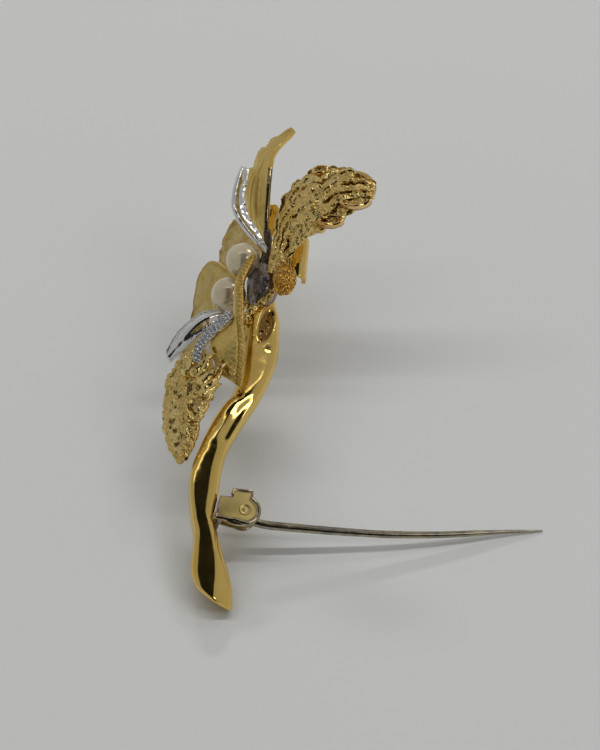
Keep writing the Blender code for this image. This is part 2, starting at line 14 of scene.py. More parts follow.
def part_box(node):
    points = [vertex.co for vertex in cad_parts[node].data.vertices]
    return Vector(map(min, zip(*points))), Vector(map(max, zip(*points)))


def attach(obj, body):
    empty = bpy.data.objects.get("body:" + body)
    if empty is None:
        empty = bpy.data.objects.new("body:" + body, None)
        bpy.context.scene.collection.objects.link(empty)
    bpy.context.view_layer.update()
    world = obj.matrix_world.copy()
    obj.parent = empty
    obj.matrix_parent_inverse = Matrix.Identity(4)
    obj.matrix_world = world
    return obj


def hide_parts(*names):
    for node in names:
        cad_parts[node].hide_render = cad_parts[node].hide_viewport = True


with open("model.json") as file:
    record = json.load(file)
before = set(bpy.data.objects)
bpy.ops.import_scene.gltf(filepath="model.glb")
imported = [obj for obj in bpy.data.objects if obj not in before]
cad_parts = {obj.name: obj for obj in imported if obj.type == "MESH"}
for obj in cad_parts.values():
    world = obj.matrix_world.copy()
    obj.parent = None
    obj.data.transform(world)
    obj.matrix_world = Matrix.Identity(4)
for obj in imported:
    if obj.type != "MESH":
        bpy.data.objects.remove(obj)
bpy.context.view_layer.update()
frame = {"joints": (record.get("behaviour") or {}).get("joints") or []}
MM = 0.001

# ------------------------------------------------------------ brooch axes to row frame
PEARL_R = 2.22
PEARL_UPPER = (-7.15, 32.25, 0.90)
PEARL_LOWER = (-7.92, 27.90, -0.85)
HUB_C = (-4.0, 30.0, 0.4)
HUB_R = (1.95, 3.4, 2.2)
AXIS_B, AXIS_L = -0.05, -0.55


def middle(node):
    lo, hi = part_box(node)
    return np.array((lo + hi) / 2) / MM


joint = frame["joints"][0]
pivot = np.array(joint["pos_m"], float) / MM
spin = np.array(joint["axis"], float)
spin /= np.linalg.norm(spin)
src = np.array([PEARL_UPPER, PEARL_LOWER, (AXIS_B, AXIS_L, 0.0), (AXIS_B, AXIS_L, 10.0)])
dst_list = []
for sign in (1.0, -1.0):
    dst = np.array([middle("pearl_upper"), middle("pearl_lower"), pivot, pivot + sign * spin * 10.0])
    cs, cd = src.mean(0), dst.mean(0)
    u, s, vt = np.linalg.svd((src - cs).T @ (dst - cd))
    d = np.sign(np.linalg.det(vt.T @ u.T))
    rot = vt.T @ np.diag((1, 1, d)) @ u.T
    err = np.abs((src - cs) @ rot.T + cd - dst).max()
    dst_list.append((err, rot, cd - rot @ cs))
fit_error, ROT, SHIFT = min(dst_list, key=lambda x: x[0])
print("fit error in mm:", round(float(fit_error), 4))


def place(points):
    """Brooch millimetres to row-frame metres."""
    return (np.asarray(points, float) @ ROT.T + SHIFT) * MM


# ------------------------------------------------------------ numbers: curves and noise
def curve(points, t):
    """Catmull-Rom curve through evenly spaced stations; runs straight on below t = 0."""
    p = np.asarray(points, float)
    n = len(p) - 1
    t = np.atleast_1d(np.asarray(t, float))
    x = np.clip(t, 0, 1) * n
    i = np.minimum(x.astype(int), n - 1)
    f = (x - i)[:, None]
    p1, p2 = p[i], p[i + 1]
    p0 = np.where((i > 0)[:, None], p[np.maximum(i - 1, 0)], 2 * p1 - p2)
    p3 = np.where((i + 2 <= n)[:, None], p[np.minimum(i + 2, n)], 2 * p2 - p1)
    out = 0.5 * (2 * p1 + (p2 - p0) * f + (2 * p0 - 5 * p1 + 4 * p2 - p3) * f ** 2
                 + (3 * p1 - p0 - 3 * p2 + p3) * f ** 3)
    return out + np.minimum(t, 0)[:, None] * (p[1] - p[0]) * n


def along(values, t):
    """Smooth number along t from evenly spaced values."""
    if len(values) == 1:
        return np.full(np.shape(t), float(values[0]))
    return curve([(v,) for v in values], np.asarray(t).ravel())[:, 0].reshape(np.shape(t))


def step(x, lo, hi):
    y = np.clip((x - lo) / (hi - lo), 0, 1)
    return y * y * (3 - 2 * y)


def lattice(ix, iy, iz, seed):
    h = (ix.astype(np.int64) * 73856093) ^ (iy.astype(np.int64) * 19349663) ^ (iz.astype(np.int64) * 83492791)
    h = (h ^ (seed * 40503)) & 0xFFFFFFFF
    h = ((h ^ (h >> 15)) * 2246822519) & 0xFFFFFFFF
    h = ((h ^ (h >> 13)) * 3266489917) & 0xFFFFFFFF
    h ^= h >> 16
    return (h & 0xFFFFFF) / float(0xFFFFFF)


def noise(p, size, seed=1):
    """Smooth noise from -1 to 1, with bumps about 'size' mm wide."""
    q = np.asarray(p, float) / size
    i = np.floor(q).astype(np.int64)
    f = q - i
    f = f * f * (3 - 2 * f)
    out = 0
    for dx in (0, 1):
        for dy in (0, 1):
            for dz in (0, 1):
                w = ((f[..., 0] if dx else 1 - f[..., 0]) * (f[..., 1] if dy else 1 - f[..., 1])
                     * (f[..., 2] if dz else 1 - f[..., 2]))
                out = out + w * lattice(i[..., 0] + dx, i[..., 1] + dy, i[..., 2] + dz, seed)
    return out * 2 - 1


def rough(p, size, seed=1, octaves=3):
    total, amp = 0, 1.0
    for k in range(octaves):
        total = total + amp * noise(p, size / 2 ** k, seed + 17 * k)
        amp *= 0.5
    return total / 1.75


def grains(p, size, seed=1):
    """Distance to the nearest and second grain centre (0 at a centre) and a random number per grain."""
    q = np.asarray(p, float) / size
    i = np.floor(q).astype(np.int64)
    f1 = np.full(q.shape[:-1], 9.0)
    f2 = np.full(q.shape[:-1], 9.0)
    rnd = np.zeros(q.shape[:-1])
    for dx in (-1, 0, 1):
        for dy in (-1, 0, 1):
            for dz in (-1, 0, 1):
                jx, jy, jz = i[..., 0] + dx, i[..., 1] + dy, i[..., 2] + dz
                c = np.stack((jx + lattice(jx, jy, jz, seed), jy + lattice(jx, jy, jz, seed + 1),
                              jz + lattice(jx, jy, jz, seed + 2)), -1)
                d = np.linalg.norm(q - c, axis=-1)
                near = d < f1
                f2 = np.where(near, f1, np.minimum(f2, d))
                rnd = np.where(near, lattice(jx, jy, jz, seed + 3), rnd)
                f1 = np.where(near, d, f1)
    return f1, f2, rnd


# ------------------------------------------------------------ meshes
def add_mesh(name, verts, faces, mats, oxide_and_painted_shade=None, index=None, smooth=True, sharp=None):
    """A mesh from brooch millimetres, with a per-point value for how dark it is painted: mostly how deep it lies in a
    hollow, as oxide and painted shade, plus a few painted reflections and dark openings.
    """
    me = bpy.data.meshes.new(name)
    me.from_pydata([tuple(v) for v in place(verts)], [], [tuple(int(k) for k in f) for f in faces])
    for m in mats:
        me.materials.append(m)
    if index is not None:
        me.polygons.foreach_set("material_index", np.asarray(index, np.int32))
    at = me.attributes.new("oxide_and_painted_shade", "FLOAT", "POINT")
    at.data.foreach_set("value", np.asarray(np.zeros(len(verts)) if oxide_and_painted_shade is None else oxide_and_painted_shade, np.float32).ravel())
    if smooth:
        me.shade_smooth()
    if sharp:
        me.set_sharp_from_angle(angle=math.radians(sharp))
    ob = bpy.data.objects.new(name, me)
    bpy.context.scene.collection.objects.link(ob)
    import bmesh
    bm = bmesh.new()
    bm.from_mesh(me)
    bmesh.ops.recalc_face_normals(bm, faces=bm.faces)
    if bm.calc_volume(signed=True) < 0:
        bmesh.ops.reverse_faces(bm, faces=bm.faces)
    bm.to_mesh(me)
    bm.free()
    return ob


def grid_faces(nu, nv, first=0, closed=False):
    """Quads of a grid with nu rows of nv points; closed joins the last column to the first."""
    out = []
    m = nv if closed else nv - 1
    for i in range(nu - 1):
        r = first + i * nv
        for j in range(m):
            k = (j + 1) % nv
            out.append((r + j, r + k, r + nv + k, r + nv + j))
    return out


def notched(t, teeth, depth):
    if not teeth:
        return np.ones_like(t)
    f = (t * teeth) % 1.0
    f = np.where(t >= 1.0, 1.0, f)
    saw = np.where(f < 0.86, f, 0.86 * (1.0 - f) / 0.14)
    return 1.0 - depth * (1.0 - saw / 0.86)


def leaf_grid(front, back, face, thick, crease=(0.0,), crease_at=0.5, bulge=(0.0,), front_teeth=(0, 0.0),
              back_teeth=(0, 0.0), nu=140, nv=50, root=0.05, edge=None, fold=None, push=None):
    """Middle surface of a leaf, its normal, and its own coordinates."""
    face = np.asarray(face, float)
    t = np.linspace(-root, 1, nu + 1)
    s = np.linspace(0, 1, nv + 1)
    v = 0.6 * s + 0.4 * (0.5 - 0.5 * np.cos(np.pi * s))
    f, k = curve(front, t), curve(back, t)
    a2, a1 = np.clip(t + 0.02, 0, 1), np.clip(t - 0.02, 0, 1)
    run = curve(front, a2) + curve(back, a2) - curve(front, a1) - curve(back, a1)
    nrm = np.cross(run, k - f)
    nrm /= np.linalg.norm(nrm, axis=1, keepdims=True)
    nrm *= np.where(nrm @ face < 0, -1.0, 1.0)[:, None]
    mid = f + (k - f) * crease_at
    slim = np.where(t < 0, 1 + t / max(root, 1e-6) * 0.35, 1.0)
    ef, eb = notched(t, *front_teeth) * slim, notched(t, *back_teeth) * slim
    if edge:
        df, db = edge(t)
        ef, eb = ef * df, eb * db
    f = mid + (f - mid) * ef[:, None]
    k = mid + (k - mid) * eb[:, None]
    if push:
        f = f + push(t)[:, None] * np.array((1.0, 0.0, 0.0))
    T, V = np.meshgrid(t, v, indexing="ij")
    tent = np.where(V < crease_at, V / crease_at, (1 - V) / (1 - crease_at))
    lift = along(crease, np.clip(T, 0, 1)) * tent + along(bulge, np.clip(T, 0, 1)) * np.sin(np.pi * V)
    if fold:
        lift = lift + fold(T, V)
    G = f[:, None] + (k - f)[:, None] * V[..., None] + nrm[:, None] * lift[..., None]
    N = np.cross(np.gradient(G, axis=0), np.gradient(G, axis=1))
    N /= np.linalg.norm(N, axis=2, keepdims=True) + 1e-12
    N *= np.where((N * nrm[:, None]).sum(2) < 0, -1.0, 1.0)[..., None]
    S = np.zeros_like(T)
    S[1:] = np.cumsum(np.linalg.norm(np.diff(mid, axis=0), axis=1))[:, None]
    width = np.linalg.norm(k - f, axis=1)[:, None]
    W = (V - crease_at) * width
    E = (k - f) / (width + 1e-9)
    return dict(G=G, N=N, T=T, V=V, S=S, W=W, E=E, width=width, thick=thick)


def leaf(name, mats, top=None, low=None, edge_mat=1, edge_round=0.10, lean=None, edge_to=1.0, tip_mat=0, **shape):
    """Closed leaf: relief on both faces and a rounded edge all the way round."""
    g = leaf_grid(**shape)
    G, N, T, V = g["G"], g["N"], g["T"], g["V"]
    nu, nv = T.shape
    h = g["thick"] / 2 * (0.25 + 0.75 * np.sqrt(np.clip((1.0 - T) / 0.03, 0, 1)))
    ends = np.clip(np.minimum(V, 1 - V) * g["width"] / 0.18, 0, 1)
    dt, ct = top(g) if top else (np.zeros_like(T), np.zeros_like(T))
    dl, cl = low(g) if low else (np.zeros_like(T), np.zeros_like(T))
    dt, dl = dt * (0.35 + 0.65 * ends), dl * (0.35 + 0.65 * ends)
    upper = G + N * (h + dt)[..., None]
    lower = G - N * (h + dl)[..., None]
    if lean:
        lower = lower + g["E"][:, None] * (lean(T[:, 0])[:, None] * step(V, 0.8, 1.0))[..., None]
    m = 4
    rings, cavs = [], []
    verts = list(upper.reshape(-1, 3)) + list(lower.reshape(-1, 3))
    oxide_and_painted_shade = list(ct.ravel()) + list(cl.ravel())
    faces = grid_faces(nu, nv) + grid_faces(nu, nv, nu * nv)
    index = [0] * len(faces)
    for col, sign in ((0, -1.0), (nv - 1, 1.0)):
        first = len(verts)
        a, b = upper[:, col], lower[:, col]
        for q in range(1, m):
            ph = math.pi * q / m
            w = 0.5 - 0.5 * math.copysign(abs(math.cos(ph)) ** 0.6, math.cos(ph))
            p = a * (1 - w) + b * w + sign * g["E"] * edge_round * math.sin(ph) ** 0.6
            verts += list(p)
            oxide_and_painted_shade += [0.0] * nu
        cols = [np.arange(nu) * nv + col] + [first + q * nu + np.arange(nu) for q in range(m - 1)]
        cols += [nu * nv + np.arange(nu) * nv + col]
        for c0, c1 in zip(cols[:-1], cols[1:]):
            for i in range(nu - 1):
                faces.append((c0[i], c0[i + 1], c1[i + 1], c1[i]))
                index.append(edge_mat if i < edge_to * nu else tip_mat)
        if col == 0:
            left = cols
        else:
            right = cols
    for row in (0, nu - 1):
        loop = [row * nv + j for j in range(nv)] + [c[row] for c in right[1:-1]]
        loop += [nu * nv + row * nv + j for j in range(nv - 1, -1, -1)] + [c[row] for c in left[1:-1]][::-1]
        faces.append(tuple(loop))
        index.append(edge_mat if edge_to >= 1 or row == 0 else tip_mat)
    ob = add_mesh(name, verts, faces, mats, oxide_and_painted_shade, index)
    return ob


def ball(name, centre, radii, mats, seg=64, rings=40, relief=None):
    """Round body with relief along its own radius."""
    th = np.linspace(0, np.pi, rings + 1)[1:-1]
    ph = np.linspace(0, 2 * np.pi, seg, endpoint=False)
    TH, PH = np.meshgrid(th, ph, indexing="ij")
    D = np.stack((np.sin(TH) * np.cos(PH), np.sin(TH) * np.sin(PH), np.cos(TH)), -1)
    D = np.vstack((D.reshape(-1, 3), [[0, 0, 1.0], [0, 0, -1.0]]))
    P = np.asarray(centre, float) + D * np.asarray(radii, float)
    oxide_and_painted_shade = np.zeros(len(P))
    if relief:
        d, oxide_and_painted_shade = relief(P, D)
        n = D / np.asarray(radii, float)
        n /= np.linalg.norm(n, axis=1, keepdims=True)
        P = P + n * d[:, None]
    k = (rings - 1) * seg
    faces = grid_faces(rings - 1, seg, 0, closed=True)
    for s in range(seg):
        faces.append((k, s, (s + 1) % seg))
        q = (rings - 2) * seg
        faces.append((k + 1, q + (s + 1) % seg, q + s))
    return add_mesh(name, P, faces, mats, oxide_and_painted_shade)


def tube(name, path, radii, mats, seg=24, relief=None, up=(0, 0, 1), flat=1.0, ends=True):
    """Bar with round ends along a path; radii in mm."""
    p = np.asarray(path, float)
    r = np.broadcast_to(np.asarray(radii, float), (len(p),)).copy()
    if ends:
        steps = 5
        d0 = (p[0] - p[1]) / np.linalg.norm(p[0] - p[1])
        d1 = (p[-1] - p[-2]) / np.linalg.norm(p[-1] - p[-2])
        q = np.array([math.sin(math.pi / 2 * (k + 1) / steps) for k in range(steps)])
        c = np.array([math.cos(math.pi / 2 * (k + 1) / steps) for k in range(steps)])
        c[-1] = 0.04
        p = np.vstack(([p[0] + d0 * r[0] * x for x in q[::-1]], p, [p[-1] + d1 * r[-1] * x for x in q]))
        r = np.concatenate((r[0] * c[::-1], r, r[-1] * c))
    up = np.asarray(up, float)
    d = np.gradient(p, axis=0)
    d /= np.linalg.norm(d, axis=1, keepdims=True)
    x = np.cross(up, d)
    x /= np.linalg.norm(x, axis=1, keepdims=True)
    y = np.cross(d, x)
    a = 2 * np.pi * np.arange(seg) / seg
    rad = r[:, None] * np.ones(seg)
    ring = x[:, None] * np.cos(a)[None, :, None] + y[:, None] * np.sin(a)[None, :, None] * flat
    P = p[:, None] + ring * rad[..., None]
    oxide_and_painted_shade = np.zeros(rad.shape)
    if relief:
        dd, oxide_and_painted_shade = relief(P, rad)
        P = P + ring * dd[..., None]
    n = len(p)
    faces = grid_faces(n, seg, 0, closed=True)
    faces.append(tuple(range(seg)))
    faces.append(tuple((n - 1) * seg + s for s in range(seg)))
    return add_mesh(name, P.reshape(-1, 3), faces, mats, oxide_and_painted_shade.ravel())


def bevelled(name, outline, a0, a1, width, mats, segments=3, hole=None):
    """Flat plate: outline in b-l, from a0 to a1, with rounded arrises."""
    import bmesh
    me = bpy.data.meshes.new(name)
    bm = bmesh.new()
    low = [bm.verts.new((p[0], p[1], a0)) for p in outline]
    high = [bm.verts.new((p[0], p[1], a1)) for p in outline]
    bm.faces.new(low[::-1])
    bm.faces.new(high)
    n = len(outline)
    for i in range(n):
        j = (i + 1) % n
        bm.faces.new((low[i], low[j], high[j], high[i]))
    bmesh.ops.recalc_face_normals(bm, faces=bm.faces)
    rim = [e for e in bm.edges if abs(e.verts[0].co.z - e.verts[1].co.z) < 1e-6]
    bmesh.ops.bevel(bm, geom=rim, offset=width, segments=segments, profile=0.5, affect="EDGES",
                    clamp_overlap=True)
    bm.to_mesh(me)
    bm.free()
    verts = [tuple(v.co) for v in me.vertices]
    faces = [tuple(p.vertices) for p in me.polygons]
    index = [0 if len(p.vertices) > 4 else len(mats) - 1 for p in me.polygons]
    bpy.data.meshes.remove(me)
    return add_mesh(name, verts, faces, mats, index=index, sharp=50)


def join(name, obs):
    """One piece from several meshes."""
    bpy.ops.object.select_all(action="DESELECT")
    for o in obs:
        o.select_set(True)
    bpy.context.view_layer.objects.active = obs[0]
    bpy.ops.object.join()
    obs[0].name = name
    obs[0].data.name = name
    return obs[0]


# ------------------------------------------------------------ materials
def metal(name, colour, rgh, grain=0.0, grain_mm=0.15, bump=0.0, bump_mm=0.2, tint=None, tint_mm=3.0,
          oxide_and_shade_colour=None, oxide_and_shade_amount=0.0, tone=0.12, scratch=0.0):
    """Metal with colour drift, grain in its roughness, fine relief, and a darker colour painted in its hollows, which
    stands for oxide and for painted shade.
    """
    m = bpy.data.materials.new(name)
    m.use_nodes = True
    nt = m.node_tree
    n, l = nt.nodes, nt.links
    b = n["Principled BSDF"]
    b.inputs["Metallic"].default_value = 1.0
    tc = n.new("ShaderNodeTexCoord")

    def tex(size_mm, detail=3.0, rgh_=0.55):
        t = n.new("ShaderNodeTexNoise")
        t.inputs["Scale"].default_value = 1.0 / (size_mm * MM)
        t.inputs["Detail"].default_value = detail
        t.inputs["Roughness"].default_value = rgh_
        l.new(tc.outputs["Object"], t.inputs["Vector"])
        return t

    def ramp(src, lo, hi, a, b_):
        r = n.new("ShaderNodeMapRange")
        r.inputs["From Min"].default_value = lo
        r.inputs["From Max"].default_value = hi
        r.inputs["To Min"].default_value = a
        r.inputs["To Max"].default_value = b_
        l.new(src, r.inputs["Value"])
        return r.outputs["Result"]

    def mix(fac, a, b_):
        x = n.new("ShaderNodeMix")
        x.data_type = "RGBA"
        for sock, val in (("A", a), ("B", b_)):
            s = [i for i in x.inputs if i.name == sock and i.type == "RGBA"][0]
            if isinstance(val, tuple):
                s.default_value = (*val, 1.0)
            else:
                l.new(val, s)
        f = [i for i in x.inputs if i.name == "Factor" and i.type == "VALUE"][0]
        if isinstance(fac, float):
            f.default_value = fac
        else:
            l.new(fac, f)
        return [o for o in x.outputs if o.type == "RGBA"][0]

    drift = tex(tint_mm, 2.0)
    second = tint or tuple(c * k for c, k in zip(colour, (0.96, 0.90, 0.78)))
    col = mix(ramp(drift.outputs["Fac"], 0.38, 0.66, 0.0, 1.0), colour, second)
    fine = tex(0.7, 3.0)
    col = mix(ramp(fine.outputs["Fac"], 0.42, 0.70, 0.0, tone), col, tuple(c * 0.55 for c in colour))
    # painted shade and oxide: the colour darkens towards the hollow colour where the mesh marks a point as deep in a
    # hollow
    if oxide_and_shade_colour:
        at = n.new("ShaderNodeAttribute")
        at.attribute_name = "oxide_and_painted_shade"
        col = mix(ramp(at.outputs["Fac"], 0.0, 1.0, 0.0, oxide_and_shade_amount), col, oxide_and_shade_colour)
    l.new(col, b.inputs["Base Color"])
    if grain > 0:
        gr = tex(grain_mm, 2.0)
        l.new(ramp(gr.outputs["Fac"], 0.3, 0.7, max(rgh - grain, 0.02), rgh + grain), b.inputs["Roughness"])
    else:
        b.inputs["Roughness"].default_value = rgh
    if bump > 0:
        bt = tex(bump_mm, 3.0, 0.6)
        bp = n.new("ShaderNodeBump")
        bp.inputs["Strength"].default_value = 1.0
        bp.inputs["Distance"].default_value = bump * MM
        l.new(bt.outputs["Fac"], bp.inputs["Height"])
        l.new(bp.outputs["Normal"], b.inputs["Normal"])
        if scratch > 0:
            st = n.new("ShaderNodeMapping")
            st.inputs["Scale"].default_value = (1.0, 0.12, 1.0)
            l.new(tc.outputs["Object"], st.inputs["Vector"])
            sx = n.new("ShaderNodeTexNoise")
            sx.inputs["Scale"].default_value = 1.0 / (0.12 * MM)
            sx.inputs["Detail"].default_value = 2.0
            l.new(st.outputs["Vector"], sx.inputs["Vector"])
            b2 = n.new("ShaderNodeBump")
            b2.inputs["Strength"].default_value = 1.0
            b2.inputs["Distance"].default_value = scratch * MM
            l.new(sx.outputs["Fac"], b2.inputs["Height"])
            l.new(bp.outputs["Normal"], b2.inputs["Normal"])
            l.new(b2.outputs["Normal"], b.inputs["Normal"])
    return m


GOLD_C = (0.86, 0.62, 0.19)
ORANGE = (0.72, 0.36, 0.055)
DARK = (0.10, 0.045, 0.012)
gold = metal("gold_polished", GOLD_C, 0.09, grain=0.03, grain_mm=0.6, bump=0.004, bump_mm=0.8, tone=0.05,
             oxide_and_shade_colour=(0.14, 0.05, 0.010), oxide_and_shade_amount=0.95)
cheek_face = metal("gold_cheek", (0.72, 0.57, 0.23), 0.40, grain=0.05, grain_mm=0.3, bump=0.006, bump_mm=0.2, tone=0.10)
rim_gold = metal("gold_rim_brown", (0.44, 0.33, 0.16), 0.14, grain=0.06, grain_mm=0.3, bump=0.02, bump_mm=0.5,
                 tone=0.7, tint=(0.13, 0.09, 0.045), tint_mm=1.2)
edge_gold = metal("gold_tarnished_edge", (0.62, 0.52, 0.34), 0.10, grain=0.05, grain_mm=0.2, bump=0.012, bump_mm=0.3,
                  tone=0.5, tint=(0.30, 0.25, 0.18), tint_mm=0.9)
satin = metal("gold_satin", (0.80, 0.60, 0.20), 0.40, grain=0.08, grain_mm=0.10, bump=0.012, bump_mm=0.11,
              oxide_and_shade_colour=(0.45, 0.25, 0.05), oxide_and_shade_amount=0.8, tone=0.14)
# painted shade: the satin gold at three quarters of its colour, a shaded copy for the far petals
satin_gold_painted_shade = metal("gold_satin_petal_painted_shade", (0.60, 0.455, 0.15), 0.38, grain=0.08, grain_mm=0.12, bump=0.010,
                   bump_mm=0.14, oxide_and_shade_colour=(0.36, 0.20, 0.04), oxide_and_shade_amount=0.7, tone=0.2)
lip_gold = metal("gold_lip", (0.94, 0.68, 0.28), 0.11, grain=0.05, grain_mm=0.1, bump=0.012, bump_mm=0.2,
                 oxide_and_shade_colour=DARK, oxide_and_shade_amount=0.96, tone=0.3, tint=(0.72, 0.42, 0.14))
nugget = metal("gold_nugget", (0.96, 0.74, 0.30), 0.14, grain=0.06, grain_mm=0.08, bump=0.018, bump_mm=0.12,
               oxide_and_shade_colour=DARK, oxide_and_shade_amount=0.90, tone=0.25, tint=(0.82, 0.56, 0.17))
# painted shade: a slightly darker copy of the nugget gold for the lower leaf
nugget_gold_painted_shade = metal("gold_nugget_lower_painted_shade", (0.88, 0.68, 0.27), 0.15, grain=0.06, grain_mm=0.08, bump=0.018, bump_mm=0.12,
                   oxide_and_shade_colour=DARK, oxide_and_shade_amount=0.92, tone=0.25, tint=(0.78, 0.54, 0.17))
warm_nugget = metal("gold_nugget_warm", (0.84, 0.53, 0.15), 0.22, grain=0.08, grain_mm=0.08, bump=0.022,
                    bump_mm=0.09, oxide_and_shade_colour=DARK, oxide_and_shade_amount=0.7, tone=0.25, tint=ORANGE)
rope = metal("gold_beaded", (0.88, 0.58, 0.15), 0.22, grain=0.06, grain_mm=0.1, bump=0.012, bump_mm=0.1,
             oxide_and_shade_colour=(0.30, 0.13, 0.02), oxide_and_shade_amount=0.8, tone=0.2)
white = metal("white_gold_polished", (0.84, 0.83, 0.80), 0.10, grain=0.05, grain_mm=0.3, bump=0.006, bump_mm=0.3,
              oxide_and_shade_colour=(0.10, 0.10, 0.11), oxide_and_shade_amount=0.7, tone=0.15, tint=(0.78, 0.78, 0.78))
white_cut = metal("white_gold_engraved", (0.76, 0.75, 0.74), 0.24, grain=0.08, grain_mm=0.1, bump=0.02,
                  bump_mm=0.1, oxide_and_shade_colour=(0.08, 0.08, 0.09), oxide_and_shade_amount=0.85, tone=0.3, tint=(0.62, 0.61, 0.62))
# near-black solder: oxide, and painted shade where it fills the shaded gap between the upper leaf's base and the bud
# and the shade under the hinge
solder_oxide_and_shade = metal("solder_dark_oxide_and_painted_shade", (0.09, 0.07, 0.055), 0.30, grain=0.1, grain_mm=0.3, bump=0.04, bump_mm=0.3,
                    oxide_and_shade_colour=(0.03, 0.02, 0.02), oxide_and_shade_amount=0.9, tone=0.6, tint=(0.24, 0.18, 0.11), tint_mm=0.8)
solder = metal("solder_oxidised", (0.27, 0.235, 0.205), 0.30, grain=0.12, grain_mm=0.3, bump=0.04, bump_mm=0.3,
               oxide_and_shade_colour=(0.04, 0.03, 0.03), oxide_and_shade_amount=0.9, tone=0.5, tint=(0.34, 0.30, 0.33), tint_mm=1.2)
steel = metal("pin_tarnished", (0.46, 0.40, 0.28), 0.18, grain=0.08, grain_mm=0.25, bump=0.006, bump_mm=0.15,
              tone=0.6, tint=(0.26, 0.25, 0.23), tint_mm=1.4, scratch=0.004)


def pearl_material():
    m = bpy.data.materials.new("pearl_lustre")
    m.use_nodes = True
    n, l = m.node_tree.nodes, m.node_tree.links
    b = n["Principled BSDF"]
    tc = n.new("ShaderNodeTexCoord")
    t = n.new("ShaderNodeTexNoise")
    t.inputs["Scale"].default_value = 1.0 / (2.2 * MM)
    t.inputs["Detail"].default_value = 3.0
    l.new(tc.outputs["Object"], t.inputs["Vector"])
    r = n.new("ShaderNodeValToRGB")
    r.color_ramp.elements[0].position = 0.35
    r.color_ramp.elements[0].color = (0.58, 0.48, 0.31, 1)
    r.color_ramp.elements[1].position = 0.68
    r.color_ramp.elements[1].color = (0.67, 0.59, 0.41, 1)
    l.new(t.outputs["Fac"], r.inputs["Fac"])
    l.new(r.outputs["Color"], b.inputs["Base Color"])
    b.inputs["Roughness"].default_value = 0.22
    b.inputs["Metallic"].default_value = 0.60
    b.inputs["IOR"].default_value = 1.6
    b.inputs["Specular IOR Level"].default_value = 0.75
    b.inputs["Coat Weight"].default_value = 0.6
    b.inputs["Coat Roughness"].default_value = 0.16
    b.inputs["Coat IOR"].default_value = 1.6
    f = n.new("ShaderNodeTexNoise")
    f.inputs["Scale"].default_value = 1.0 / (0.25 * MM)
    l.new(tc.outputs["Object"], f.inputs["Vector"])
    bp = n.new("ShaderNodeBump")
    bp.inputs["Strength"].default_value = 1.0
    bp.inputs["Distance"].default_value = 0.002 * MM
    l.new(f.outputs["Fac"], bp.inputs["Height"])
    l.new(bp.outputs["Normal"], b.inputs["Normal"])
    return m


pearl = pearl_material()


# ------------------------------------------------------------ relief
def nuggets(P, size, height, seed, fine=0.4):
    """Raised grains; the joints between them are painted dark as oxide and painted shade."""
    w = np.stack([noise(P, size * 1.6, seed + k) for k in (5, 6, 7)], -1) * size * 0.35
    f1, f2, rnd = grains(P + w, size, seed)
    lump = np.clip(f2 - f1, 0, 0.5) / 0.5
    d = height * (np.sqrt(lump) * (0.55 + 0.45 * rnd) - 0.5)
    g1, g2, r2 = grains(P, size * 0.42, seed + 31)
    d = d + height * fine * (np.clip(g2 - g1, 0, 0.4) / 0.4 - 0.5) * (0.4 + 0.6 * r2)
    oxide_and_painted_shade = np.clip(0.75 - lump * 1.6, 0, 1)
    return d, oxide_and_painted_shade


def foil(g, stretch, seed, turn=0.0):
    """Crumpled-foil relief drawn out along the leaf: sharp crests, fine grains, and creases painted dark as oxide and
    painted shade.
    """
    c, s_ = math.cos(turn), math.sin(turn)
    S, W = g["S"], g["W"]
    Q = np.stack(((S * c + W * s_) / stretch, W * c - S * s_, g["G"][..., 2] * 0.5), -1)
    Q = Q + 0.25 * np.stack([noise(Q, 0.9, seed + k) for k in (1, 2, 3)], -1)
    a = 1 - 2 * np.abs(noise(Q, 1.15, seed + 4))
    b = 1 - 2 * np.abs(noise(Q, 0.55, seed + 5))
    n1, c1 = nuggets(Q, 0.30, 0.13, seed + 6)
    d = 0.20 * a + 0.11 * b + n1 + 0.22 * noise(g["G"], 2.0, seed + 7)
    oxide_and_painted_shade = np.clip(0.55 * step(-a - 0.4 * b, 0.25, 0.9) + 0.35 * c1, 0, 1)
    return d, oxide_and_painted_shade


def spot(g, t, v, rt, rv, turn=0.0):
    """1 in the middle of an oval at (t, v), 0 outside; rt and rv in mm."""
    length = g["S"].max()
    x = (g["T"] - t) * length
    y = (g["V"] - v) * g["width"]
    c, s = math.cos(turn), math.sin(turn)
    q = ((x * c + y * s) / rt) ** 2 + ((y * c - x * s) / rv) ** 2
    return step(-q, -1.25, -0.75)


pieces = []


def add(ob, body, slot_name, *nodes):
    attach(ob, body)
    if nodes:
        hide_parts(*nodes)
    pieces.append(ob)
    return ob


# ------------------------------------------------------------ pearls and hub
def pearl_skin(P, D):
    return 0.012 * noise(P, 1.6, 3), np.zeros(len(P))


for nm, c in (("pearl_upper", PEARL_UPPER), ("pearl_lower", PEARL_LOWER)):
    add(ball(nm + "_bead", c, (PEARL_R,) * 3, [pearl], 72, 48, pearl_skin), "brooch", "pearl", nm)


def hub_skin(P, D):
    d = 0.22 * rough(P, 1.3, 11) + 0.10 * noise(P, 0.45, 12)
    for c, sign in ((PEARL_UPPER, 1), (PEARL_LOWER, 1)):
        gap = np.linalg.norm(P - np.array(c), axis=1) - (PEARL_R + 0.05)
        d = np.where(gap + d < 0, -gap, d)
    # the hub's hollows are painted darker: oxide and painted shade
    return d, np.clip(-rough(P, 1.3, 11) * 1.2, 0, 1)


add(ball("hub_solder", HUB_C, tuple(r + 0.12 for r in HUB_R), [solder], 110, 70, hub_skin), "brooch",
    "oxidised_solder", "hub")

